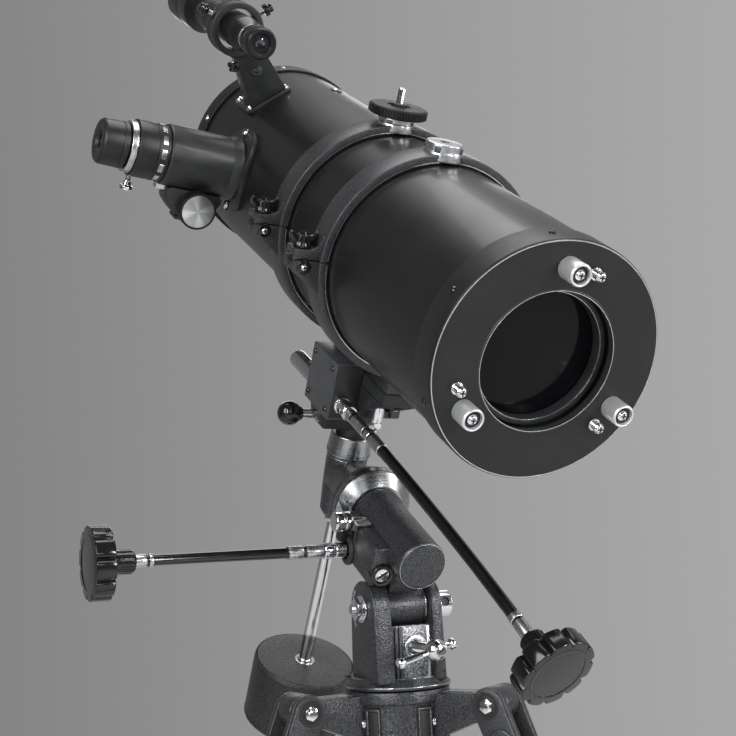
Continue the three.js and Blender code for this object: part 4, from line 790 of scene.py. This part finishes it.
# pointer for the graduated circle
P += prism([(-31.5, 48), (-26, 48), (-24, 62), (-27.5, 66)], 0, 1.4, "hammer", T(0, 0, 50), 0.3)
for (xx, yy) in ((-24, 0), (-24, 48), (-12, 48)): P += phillips(2.2, 1.4, T(xx, yy, 48.1), "gloss")
piece("polar_housing_casting", "latitude", P, LAT, ["polar_housing"])
lk = T(0, 0, 43.2) @ along('x', 0, 40, 3)
P = cyl(3.05, -29, -16, "steel", lk, 24) + lathe([(0, -41), (5.6, -41), (6.8, -40, 0.5), (6.8, -35, 0.2), (6.2, -34.6, 0.1), (6.2, -33.4, 0.1), (6.8, -33, 0.2), (6.8, -28.6, 0.6), (0, -28.6)], "chrome", lk, 64, 0.3)
P += prism(gear(30, 6.9, 6.3), -39.6, -35.2, "chrome", lk, 0)
P += box(-36.2, -29.6, -3.2, 3.2, -14, -6, "plastic", T(0, 40, 46.2), 1.0, 3) + box(-35, -30.8, -2, 2, -7, -4, "plastic", T(0, 40, 46.2), 0.4)
piece("ra_lock_knurled_screw", "ra_lock_screw", P, LAT, ["ra_lock_screw"])
ww = T(0, 0, 43.2) @ along('x', 0, 36, -17)
P = cyl(3.2, -46, 6.5, "steel", ww, 32) + thread(5.6, -12, 5, "steel", ww, 2.2, 40) + lathe([(0, -47), (4.8, -47), (5.4, -46.2, 0.4), (5.4, -40, 0.2), (4.9, -39.6, 0.2), (4.9, -38.6, 0.2), (5.4, -38.2, 0.2), (5.4, -30.8, 0.5), (0, -30.8)], "chrome", ww, 64, 0.3)
P += phillips(1.8, 0.9, T(-43.5, 36, 26.2) @ AX['-y'] @ T(0, 0, 5.0), "steel")
piece("ra_worm_shaft", "ra_worm", P, LAT, ["ra_worm"])
fx = T(0, 0, 43.2) @ along('-x', 0, 36, -17)
P = lathe([(0, 47.4), (4.0, 47.4), (4.4, 48, 0.3), (4.4, 60, 0.3), (3.9, 60.5, 0.2), (3.9, 62, 0.2), (4.4, 62.5, 0.3), (4.4, 73.6, 0.5), (3.6, 74, 0.3), (3.6, 167.6, 0.3), (4.4, 168, 0.5), (4.4, 171, 0.2), (3.9, 171.4, 0.1), (3.9, 172.4, 0.1), (4.4, 172.8, 0.2), (4.4, 180.4, 0.4), (0, 180.4)], "sleeve", fx, 48, 0.3)
P += lathe([(4.42, 47.6), (4.5, 47.8), (4.5, 59.8), (4.42, 60)], "turned", fx, 48, 0) + lathe([(4.41, 62.8), (4.5, 63), (4.5, 73), (4.41, 73.2)], "turned", fx, 48, 0) + lathe([(4.41, 168.4), (4.5, 168.6), (4.5, 170.8), (4.41, 171)], "turned", fx, 48, 0) + lathe([(4.41, 173), (4.5, 173.2), (4.5, 180), (4.41, 180.2)], "turned", fx, 48, 0)
piece("ra_flex_cable", "latitude", P, LAT, ["ra_flex_shaft"])
kb = slowknob(180.8, 198, 198, 211.4, "gloss")
piece("ra_slow_motion_knob", "ra_slow_knob", kb, LAT @ fx, ["ra_slow_knob"])

# graduated circles: ticks and figures sit on the turned rims
DIG = {}
def figure(txt, size, m, mat="mark", depth=0.12):
    if txt not in DIG:
        c = bpy.data.curves.new("f", 'FONT'); c.body = txt; c.align_x = 'CENTER'; c.align_y = 'CENTER'; c.size = 1.0; c.extrude = 0.5; c.resolution_u = 2
        o = bpy.data.objects.new("f", c); bpy.context.scene.collection.objects.link(o)
        bpy.context.view_layer.update()
        me = bpy.data.meshes.new_from_object(o.evaluated_get(bpy.context.evaluated_depsgraph_get()))
        DIG[txt] = (np.array([v.co[:] for v in me.vertices]), [list(p.vertices) for p in me.polygons])
        bpy.data.objects.remove(o); bpy.data.curves.remove(c); bpy.data.meshes.remove(me)
    v, f = DIG[txt]
    v = v * np.array([size, size, depth])
    return place(v, f, mat, m)
rc = along('y', 0, 0, 43.2)
P = lathe([(9.3, 57.4), (20.4, 57.4, 0.5), (28.6, 64.6, 0.4), (29, 65.4, 0.3), (29, 72, 0.4), (28.4, 72.6, 0.3), (9.3, 72.6, 0.2)], "engraved", rc, 192, 0.3)
P += ringl(28.95, 29.12, 71.2, 71.5, "mark", rc, 160, 0.02) + ringl(28.95, 29.12, 65.9, 66.1, "mark", rc, 160, 0.02)
for q in range(144):
    L_ = 3.0 if q % 6 == 0 else (2.1 if q % 3 == 0 else 1.3)
    P += box(28.9, 29.12, -0.11, 0.11, 71.3 - L_, 71.3, "mark", rc @ RZ(q * 2.5), 0, 1)
for q in range(24):
    P += figure(str(q), 2.6, rc @ RZ(q * 15) @ T(29.0, 0, 67.2) @ RZ(90) @ RX(90))
# figures of the second scale on the cone
d = Vector((28.6 - 20.4, 64.6 - 57.4)).normalized()
for q in range(24):
    P += figure(str((24 - q) % 24), 2.4, rc @ RZ(q * 15 + 7.5) @ T(26.2, 0, 62.45) @ RY(math.degrees(math.atan2(d.y, d.x)) * -1 + 0) @ RZ(-90) @ RX(180))
piece("ra_graduated_ring", "ra_setting_circle", P, LAT, ["ra_setting_circle"])

# =================================================================== declination housing, counterweight
P = lathe([(0, 8), (8.9, 8), (8.9, 73, 0), (25.4, 73, 0.6), (26, 74, 0.4), (26, 79, 1.2), (21.5, 85, 5), (18, 97, 6), (16.4, 108, 3), (16, 121), (0, 121)], "hammer", AX['y'], 144, 0.5, 5)
P += lathe([(0, 27), (11, 27), (11, 44), (0, 44)], "steel", AX['y'], 64, 0.4)
P += ringl(25.3, 26.15, 75.6, 76.3, "steel", AX['y'], 144, 0.1)
cz = T(0, 121.3, 0)
P += boolean(lathe([(5.4, -34), (10.0, -34, 1.0), (12.6, -30, 1.5), (14.2, -12, 3), (15.2, 4, 2), (15.6, 17, 0.6), (8.8, 17, 0.2), (8.8, -8), (5.4, -8)], "hammer", cz, 144, 0.4, 4), [])
P += ringl(15.0, 15.75, 14.9, 15.4, "steel", cz, 144, 0.1)
for q in (200, 290): P += phillips(2.4, 1.2, cz @ RZ(q) @ T(14.5, 0, 0) @ AX['x'] @ RX(0), "gloss")
P += prism([(-1.6, 0), (1.6, 0), (0, 4.5)], 0, 0.5, "white", cz @ RZ(245) @ T(15.4, 0, 11.2) @ RZ(90) @ RX(90), 0.05)
piece("declination_housing_casting", "polar", P, POL, ["declination_housing"])
P = lathe([(9.1, 17.3), (16.4, 17.3, 0.3), (16.6, 18.0, 0.2), (15.7, 32.6, 0.3), (15.2, 33.4, 0.3), (12.5, 33.4, 0.2), (12.5, 29.6, 0), (9.1, 29.6, 0.2)], "engraved", cz, 160, 0.3)
dv = (16.6 - 15.7, 10.9); tilt = math.degrees(math.atan2(dv[0], dv[1]))
for q in range(72):
    L_ = 3.2 if q % 6 == 0 else 1.9
    P += box(-0.08, 0.12, -0.14, 0.14, 0, L_, "mark", cz @ RZ(q * 5) @ T(16.5, 0, 18.6) @ RY(-tilt), 0, 1)
for q in range(12):
    P += figure(("0", "30", "60", "90", "60", "30")[q % 6], 3.2, cz @ RZ(q * 30 + 0.01) @ T(16.02, 0, 24.6) @ RY(-tilt) @ RZ(90) @ RX(90))
piece("declination_graduated_ring", "declination_circle", P, POL, ["declination_circle"])
P = lathe([(0, -231.5), (5, -231.5), (5, -46, 0.2), (5, -18.4), (0, -18.4)], "chrome", cz, 64, 0.4)
P += prism([(8.2 * math.cos(rad(60 * i)), 8.2 * math.sin(rad(60 * i))) for i in range(6)], -39, -34.4, "chrome", cz, 0.6) + cyl(8.4, -34.5, -34.05, "steel", cz, 48, 0.1)
P += thread(5.0, -46, -39, "steel", cz, 1.2, 48)
piece("counterweight_bar", "polar", P, POL, ["counterweight_shaft"])
P = lathe([(5.3, -221.8 - 2.2), (8.4, -224, 0.5), (9, -225, 0.4), (9, -234.6, 0.8), (8, -236, 0.6), (0, -236), (0, -233), (5.3, -233)][:5] + [(0, -236)], "chrome", cz, 72, 0.3) if False else lathe([(0, -236), (8.2, -236, 0.8), (9, -234.8, 0.4), (9, -225.2, 0.4), (8.3, -224, 0.5), (5.4, -224, 0.2), (5.4, -232.6), (0, -232.6)], "chrome", cz, 72, 0.3)
P += prism(gear(36, 9.1, 8.7), -233.5, -226.5, "chrome", cz, 0)
piece("bar_end_stop", "polar", P, POL, ["shaft_end_stop"])
P = boolean(lathe([(5.5, -217), (35.6, -217, 1.5), (39.5, -213.6, 2), (39.5, -165, 1.4), (37.6, -162, 1.0), (5.5, -162, 0.4)], "iron", cz, 192, 0.8, 4), [cyl(3.7, 4, 50, "iron", T(0, 121.3, 0) @ along('-y', 0, 0, -190), 32, 0)])
P += ringl(5.5, 8.0, -162.6, -161.6, "steel", cz, 64, 0.3)
# chamfer band round the top rim in the lighter, shinier hammertone: painted highlight on the rim
P += lathe([(38.4, -162.5), (38.8, -162.4), (39.35, -164.0), (38.9, -164.2)], "ring", cz, 192, 0.1) + ringl(39.1, 39.75, -211.6, -211.0, "cast", cz, 160, 0.1)
piece("counterweight_casting", "counterweight", P, POL, ["counterweight"])
cs = T(0, 121.3, 0) @ along('-y', 0, 0, -190)
P = thread(3.2, 5.8, 40.5, "steel", cs, 1.0) + lathe([(0, 40), (7.2, 40), (8, 40.9, 0.4), (8, 48.6, 0.8), (7, 50, 0.6), (0, 50)], "plastic", cs, 64, 0.4) + prism(gear(24, 8.3, 7.8), 41, 48, "plastic", cs, 0)
piece("counterweight_thumbscrew", "counterweight_screw", P, POL, ["counterweight_screw"])

# =================================================================== azimuth bracket
PY, PZ_ = -8.6, 54.5
YZm = RZ(90) @ RX(90)
P = lathe([(0, 0.2), (36.5, 0.2, 0.5), (36.9, 1.2, 0.3), (36.9, 2.6, 0.5), (31.4, 8, 0.6), (0, 8)], "hammer", None, 144, 0.4, 3)
P += ringl(36.3, 37.05, 1.6, 2.3, "steel", None, 160, 0.1) + ringl(31.0, 32.0, 7.0, 7.6, "steel", None, 128, 0.15)
def ear(wf):
    a = [(PY - 19 - wf, 5)] + arcp(PY, PZ_, 19, 182, -2, 40) + [(PY + 19 + wf, 5)]
    return a
for x0, x1 in ((-28, -15), (16, 23.5)):
    pe = prism(ear(2.5), x0, x1, "hammer", YZm, 0.9, 3)
    P += boolean(pe, [cyl(5.35, -40, 40, "hammer", along('x', 0, PY, PZ_), 48, 0)])
# cast wall between the ears with its vertical ribs; its face uses a lighter copy of the hammertone, which paints on the
# light the wall catches
w = boolean(box(-20, 20, -24, -16, 5, 42.4, "lighthammer", None, 1.0), [cyl(4.7, -20, 20, "hammer", along('y', 3, -20, 27.5), 40, 0)])
P += w + box(-20, 20, 2, 9, 5, 28, "hammer", None, 1.0)
P += boolean(ringl(4.7, 8.2, 0, 2.4, "steel", along('-y', 3, -23.8, 27.5), 48, 0.4), [])
for k in range(3): P += cyl(1.5, 6, 41.8, "hammer", T(-14.2 + k * 3.4, -24.2, 0), 20, 0.6)
P += cyl(1.6, 6, 41.8, "steel", T(13.4, -24.0, 0), 20, 0.6)
for (xx, yy) in ((-30.5, 14), (0, 27.5)): P += phillips(2.6, 1.6, T(xx, yy, 7.2), "gloss")
lb = along('x', 0, PY, PZ_)
# latitude scale on the left ear
for q in range(0, 91, 5):
    L_ = 2.6 if q % 15 == 0 else 1.5
    P += box(-0.1, 0.1, 15.0, 15.0 + L_, 27.95, 28.15, "white", along('-x', 0, PY, PZ_) @ RZ(q - 45), 0, 1)
piece("azimuth_casting", "azimuth", P, HEAD, ["azimuth_bracket"])
P = cyl(5, -29, 24.6, "steel", lb, 40) + cyl(9.2, -29.4, -28.25, "chrome", lb, 56, 0.3) + hexnut(7.6, 4.4, lb @ T(0, 0, -34)) + thread(3.4, -36.5, -30, "steel", lb, 0.9) 
brl = lathe([(0, 23.8), (8.6, 23.8), (9, 24.4, 0.3), (9, 36.6, 0.7), (7.8, 37.9, 0.4), (0, 37.9)], "chrome", lb, 72, 0.4)
P += boolean(brl, [cyl(3.2, -20, 20, "chrome", T(31.5, PY, PZ_) @ AX['z'] @ RX(78), 32, 0)])
P += cyl(3.1, -7.4, 7.4, "mark", T(31.5, PY, PZ_) @ RX(78), 24, 0.2)
piece("latitude_pivot_bolt", "azimuth", P, HEAD, ["latitude_bolt"])
TBm = T(3, -56, 27.5) @ RY(-14.4)
P = thread(4.0, -12.5 - 0, -12.5 - 0, "chrome") if False else thread(4.0, 12.6, 50, "chrome", along('-y', 3, 0, 27.5), 1.3, 40)
P += ball(7.4, "chrome", TBm, 48) + cyl(5.2, -1, 5.2, "chrome", T(3, -56, 27.5) @ AX['y'] @ T(0, 0, 2.0), 40, 0.5)
P += cyl(4.0, 5.2, 8.0, "chrome", TBm @ AX['-y'], 40, 0.4) + box(-3.0, 3.0, -0.6, 0.6, 7.4, 8.3, "mark", TBm @ AX['-y'] @ RZ(20), 0.1, 1)
bx = TBm @ AX['x']
P += cyl(2.3, -26, 12, "chrome", bx, 32, 0.3) + lathe([(0, -29), (3.2, -29), (3.8, -28, 0.5), (3.8, -25.4, 0.6), (2.6, -24.2, 0.4), (0, -24.2)], "chrome", bx, 40, 0.3) + lathe([(0, 14.5), (3.2, 14.5), (3.8, 13.6, 0.5), (3.8, 11.4, 0.6), (2.6, 10.2, 0.4), (0, 10.2)], "chrome", bx, 40, 0.3)
piece("latitude_tee_bolt", "latitude_t_bolt", P, HEAD, ["latitude_t_bolt"])

# =================================================================== tripod
P = lathe([(25, -64), (32.4, -64, 0.8), (33, -62, 0.5), (33, -12, 0.5), (34.4, -9.4, 0.6), (35.6, -8.8, 0.6), (36, -7.6, 0.5), (36, -0.9, 0.6), (6.9, -0.9, 0.3), (6.9, -14, 0.2), (25, -14, 0.3)], "hammer", None, 160, 0.4, 3)
for a in LEGS:
    lug = prism([(20, -39.5), (62, -22.4), (70, -21.8), *arcp(76, -10, 12, -90, 122, 28), (64, -3), (20, -3)], -9, 9, "hammer", RZ(a) @ RX(90), 1.0, 3)
    P += boolean(lug, [cyl(4.4, -30, 30, "hammer", RZ(a) @ T(76, 0, -10) @ AX['y'], 32, 0)])
    P += box(22, 66, -5.5, 5.5, -4.0, -1.9, "hammer", RZ(a), 0.7)
# ribs and slots on the drum
for q in (245 - 31, 245 + 31, 125 - 31, 125 + 31, 5 - 31, 5 + 31):
    m_ = RZ(q)
    P += box(32.2, 34.6, -5.4, -3.6, -62, -13, "hammer", m_, 0.5) + box(32.2, 34.6, 3.6, 5.4, -62, -13, "hammer", m_, 0.5) + box(32.4, 33.3, -3.7, 3.7, -61, -14, "mark", m_, 0.1) + box(32.2, 34.6, -5.4, 5.4, -13.6, -11.8, "hammer", m_, 0.5)
for q in (245 - 47, 245 + 47, 125 - 47, 125 + 47, 5 - 47 + 360, 5 + 47): P += phillips(3.2, 2.4, RZ(q) @ T(32.8, 0, -22) @ AX['x'])
piece("tripod_hub", "head", P, HEAD, ["tripod_head"])
P = thread(6, -26, -4, "steel", None, 1.5, 40) + prism(lobes(5, 17, 12, 16), -38, -26.2, "plastic", None, 1.4, 3) + cyl(9, -26.6, -24, "plastic", None, 48, 0.6)
piece("azimuth_clamp_bolt", "azimuth_bolt", P, HEAD, ["azimuth_bolt"])
splay = 22
attachR = 76 - 18 * math.cos(rad(22)) + 300 * math.sin(rad(22))
attachZ = -10 - 18 * math.sin(rad(22)) - 300 * math.cos(rad(22))
rise = math.sqrt(168 ** 2 - (attachR - 25) ** 2)
beta = math.degrees(math.atan2(rise, attachR - 25))
trayZ = attachZ + rise
for i, a in enumerate(LEGS):
    n = i + 1
    M_ = LEG(a)
    P = []
    P += box(-12.3, 12.3, -16.3, 16.3, -65, -38.2, "alu", None, 1.4, 3)
    for s in (-1, 1):
        y0, y1 = sorted((s * 9.5, s * 14.2))
        P += prism(arcp(0, 0, 12, 0, 180, 32) + [(-11.5, -40), (11.5, -40)], -y1, -y0, "ring", RX(90), 0.6, 3)
        q0, q1 = sorted((s * 13.9, s * 16.6))
        P += prism(arcp(0, 0, 11.2, 0, 180, 32) + arcp(0, -27, 10.6, 180, 360, 32), -q1, -q0, "ring", RX(90), 0.7, 3)
        sd = AX['y'] if s > 0 else AX['-y']
        P += ringl(7.0, 8.8, 16.4, 17.0, "cast", sd, 56, 0.2) + cyl(6.9, 16.3, 16.9, "mark", sd, 48, 0.1)
        P += bolt(5.0, 1.6, sd @ T(0, 0, 15.6), "chrome", False)
        P += lathe([(0, 16.2), (8.6, 16.2), (8.6, 17.6, 0.9), (7.4, 18.2, 0.5), (0, 18.2)], "ring", T(0, 0, -24.5) @ sd, 56, 0.3)
    P += cyl(3.8, -14.5, 14.5, "steel", AX['y'], 32)
    rail = prism(roundrect(9, 14, 2.2, 4), -330, -37, "alu", None, 0.3)
    rail = boolean(rail, [box(-7.2, 7.2, -12.2, 12.2, -340, -46, "alu", None, 0), cyl(3.3, 0, 20, "alu", along('x', 0, 0, -319), 24, 0)])
    P += rail
    for s in (-1, 1): P += box(-4.6, 4.6, *sorted((s * 13.9, s * 14.25)), -318, -68, "alu", None, 0.12, 1)
    col = boolean(prism(roundrect(12.5, 17, 3, 5), -334, -304, "plastic", None, 0.9, 3), [box(-7.2, 7.2, -12.2, 12.2, -340, -300, "plastic", None, 0), cyl(3.3, 0, 20, "plastic", along('x', 0, 0, -319), 24, 0)])
    P += col
    for s in (-1, 1): P += box(-24, -8.6, *sorted((s * 6.5, s * 10.5)), -308, -292, "cast", None, 0.9)
    P += cyl(2.2, -11.6, 11.6, "steel", along('y', -18, 0, -300), 24, 0.4) + cyl(4.0, 10.5, 12.4, "chrome", along('y', -18, 0, -300), 32, 0.5) + cyl(4.0, -12.4, -10.5, "chrome", along('y', -18, 0, -300), 32, 0.5)
    piece("leg_%d_upper_section" % n, "leg_%d" % n, P, M_, ["leg_upper_%d" % n])
    P = prism(roundrect(6.9, 11.9, 1.6, 4), -598, -120, "alu", None, 0.25)
    for s in (-1, 1): P += box(-3.4, 3.4, *sorted((s * 11.75, s * 12.0)), -590, -130, "alu", None, 0.08, 1)
    P += prism(roundrect(9, 13.5, 2.4, 5), -600, -576, "plastic", None, 0.9, 3)
    foot = lathe([(0, -628), (10.9, -628, 0.5), (12.3, -616, 1.0), (11.6, -609, 0.6), (10.6, -607.6, 0.5), (10, -598, 0.8), (0, -598)], "rubber", None, 64, 0.4)
    foot = boolean(foot, [box(-40, 40, -40, 40, -40, 0, "rubber", T(0, 0, -617.85) @ RY(22), 0)])
    P += foot
    for k in range(3): P += ringl(11.0, 12.25 - k * 0.2, -612 + k * 2.0, -611 + k * 2.0, "rubber", None, 64, 0.2)
    piece("leg_%d_lower_section" % n, "leg_lower_%d" % n, P, M_, ["leg_lower_%d" % n])
    lx = along('x', 0, 0, -319)
    P = thread(2.9, 7.3, 13.4, "steel", lx, 0.9) + prism(lobes(3, 14, 7, 20), 12.9, 22, "plastic", lx, 1.3, 3) + cyl(4.2, 21.4, 22.6, "plastic", lx, 32, 0.4)
    piece("leg_%d_lock_knob" % n, "leg_lock_%d" % n, P, M_, ["leg_lock_%d" % n])
    BR = M_ @ T(-18, 0, -300) @ RY(22)
    D_ = RY(180 + beta)
    def brx(x): return D_ @ T(x, 0, 0)
    bar = boolean(prism([(0, -2.5), (168, -2.5), (168, 2.5), (0, 2.5)], -6, 6, "cast", D_ @ RX(90), 0.6), [cyl(2.7, -8, 8, "cast", D_ @ AX['y'], 24, 0), cyl(3.6, -8, 8, "cast", brx(168) @ AX['y'], 24, 0)])
    P = bar + box(12, 156, -3.2, 3.2, 2.3, 3.2, "cast", D_, 0.4) + box(12, 156, -3.2, 3.2, -3.2, -2.3, "cast", D_, 0.4)
    P += ringl(2.7, 5, -6, 6, "cast", D_ @ AX['y'], 48, 0.4) + ringl(3.6, 5, -6, 6, "cast", brx(168) @ AX['y'], 48, 0.3)
    piece("spreader_arm_%d" % n, "brace_%d" % n, P, BR, ["brace_%d" % n])
# accessory tray
tz = trayZ
P = boolean(lathe([(0, tz + 12), (48.6, tz + 12, 0.5), (50, tz + 13.2, 0.6), (50, tz + 15.6, 0.4), (49.6, tz + 16, 0.3), (0, tz + 16)], "cast", None, 160, 0.4), [cyl(15.95, tz + 5, tz + 20, "cast", RZ(245 + 120 * k) @ T(30.5, 0, 0), 72, 0) for k in range(3)])
P += lathe([(0, tz - 12), (10, tz - 12), (11, tz - 10.8, 0.5), (11, tz + 12), (0, tz + 12)], "cast", None, 72, 0.6)
P += ringl(48.3, 49.9, tz + 15.4, tz + 16.0, "cast", None, 160, 0.2)
for k in range(3): P += ringl(16.0, 17.4, tz + 15.2, tz + 16.0, "cast", RZ(245 + 120 * k) @ T(30.5, 0, 0), 72, 0.25)
for a in LEGS:
    for s in (-1, 1): P += box(9, 31, *sorted((s * 6.6, s * 11)), tz - 8, tz + 12.4, "cast", RZ(a), 0.8)
    for s in (-1, 1): P += cyl(2.4, 9.0, 11.8, "steel", RZ(a) @ T(25, 0, tz) @ (AX['y'] if s > 0 else AX['-y']), 24, 0.4)
    for s in (-1, 1): P += cyl(4, 11, 12.6, "chrome", RZ(a) @ T(25, 0, tz) @ (AX['y'] if s > 0 else AX['-y']), 32, 0.4)
piece("spreader_tray", "tray", P, HEAD, ["accessory_tray"])

# =================================================================== studio, camera
def stage_plane(name, size, m, mat):
    me = bpy.data.meshes.new(name); s = size / 2
    me.from_pydata([(-s, -s, 0), (s, -s, 0), (s, s, 0), (-s, s, 0)], [], [(0, 1, 2, 3)])
    me.materials.append(mat); o = bpy.data.objects.new(name, me); o.matrix_world = m
    bpy.context.scene.collection.objects.link(o); return o
fm, nt, b = new_mat("studio_floor", (0.62, 0.62, 0.62), 0.0, 0.85)
bm = bmesh.new(); bmesh.ops.create_circle(bm, cap_ends=True, radius=2.6, segments=128)
me = bpy.data.meshes.new("floor"); bm.to_mesh(me); bm.free(); me.materials.append(fm)
fo_ = bpy.data.objects.new("floor", me); fo_.location = (HX / 1000, HY / 1000, -0.0005); bpy.context.scene.collection.objects.link(fo_)
w = bpy.data.worlds.new("studio"); bpy.context.scene.world = w; w.use_nodes = True
nt = w.node_tree
bg = nt.nodes["Background"]
tc = nt.nodes.new("ShaderNodeTexCoord")
dp = nt.nodes.new("ShaderNodeVectorMath"); dp.operation = 'DOT_PRODUCT'
dp.inputs[1].default_value = (0.911, -0.41, 0.0)
nt.links.new(tc.outputs["Generated"], dp.inputs[0])
mr = nt.nodes.new("ShaderNodeMapRange")
for k, v in (("From Min", -0.26), ("From Max", 0.26), ("To Min", 0.225), ("To Max", 0.40)): mr.inputs[k].default_value = v
nt.links.new(dp.outputs["Value"], mr.inputs["Value"])
d2 = nt.nodes.new("ShaderNodeVectorMath"); d2.operation = 'DOT_PRODUCT'; d2.inputs[1].default_value = (0.414, 0.910, 0.0)
nt.links.new(tc.outputs["Generated"], d2.inputs[0])
m2 = nt.nodes.new("ShaderNodeMapRange")
for k, v in (("From Min", 0.0), ("From Max", 0.75), ("To Min", 0.42), ("To Max", 1.0)): m2.inputs[k].default_value = v
nt.links.new(d2.outputs["Value"], m2.inputs["Value"])
ml = nt.nodes.new("ShaderNodeMath"); ml.operation = 'MULTIPLY'
nt.links.new(mr.outputs["Result"], ml.inputs[0]); nt.links.new(m2.outputs["Result"], ml.inputs[1])
nt.links.new(ml.outputs[0], bg.inputs["Color"])
bg.inputs["Strength"].default_value = 1.0

def area(name, loc, target, sx, sy, power, col=(1, 1, 1)):
    l = bpy.data.lights.new(name, 'AREA'); l.shape = 'RECTANGLE'; l.size = sx; l.size_y = sy; l.energy = power; l.color = col
    o = bpy.data.objects.new(name, l); bpy.context.scene.collection.objects.link(o)
    o.matrix_world = T(*loc) @ (Vector(target) - Vector(loc)).to_track_quat('-Z', 'Y').to_matrix().to_4x4()
    return o
C = (HX / 1000, HY / 1000 + 0.02, 0.85)
area("top_softbox", (C[0] + 0.25, C[1] + 0.1, 2.5), C, 1.4, 1.4, 20)
area("left_softbox", (C[0] - 1.9, C[1] - 0.9, 1.5), C, 0.8, 1.5, 22)
area("right_softbox", (C[0] + 1.7, C[1] - 1.0, 1.3), C, 0.5, 1.5, 16)
area("front_fill", (C[0] - 0.3, C[1] - 2.4, 1.2), C, 1.0, 0.8, 5)
area("back_rim", (C[0] + 0.7, C[1] + 1.8, 1.7), C, 1.2, 0.6, 5)
area("left_strip", (C[0] - 1.35, C[1] - 1.55, 1.25), C, 0.14, 1.2, 16)
area("right_strip", (C[0] + 0.75, C[1] - 1.75, 1.2), C, 0.14, 1.2, 16)

cam = bpy.data.cameras.new("camera"); co = bpy.data.objects.new("camera", cam)
bpy.context.scene.collection.objects.link(co)
cam.sensor_width = 36; cam.lens = 1482.78 * 36 / 736; cam.clip_start = 0.05; cam.clip_end = 60
R_ = Vector((0.91101367, -0.40997872, -0.04440214)); U_ = Vector((-0.000341, -0.10842355, 0.99410473)); F_ = Vector((0.41237602, 0.90562784, 0.09891528))
pos = (HEAD @ Vector((-441.145, -943.359, 117.699))) * 0.001
co.matrix_world = Matrix(((R_.x, U_.x, -F_.x, pos.x), (R_.y, U_.y, -F_.y, pos.y), (R_.z, U_.z, -F_.z, pos.z), (0, 0, 0, 1)))
bpy.context.scene.camera = co
bpy.context.scene.view_settings.view_transform = 'Standard'
bpy.context.scene.view_settings.look = 'None'
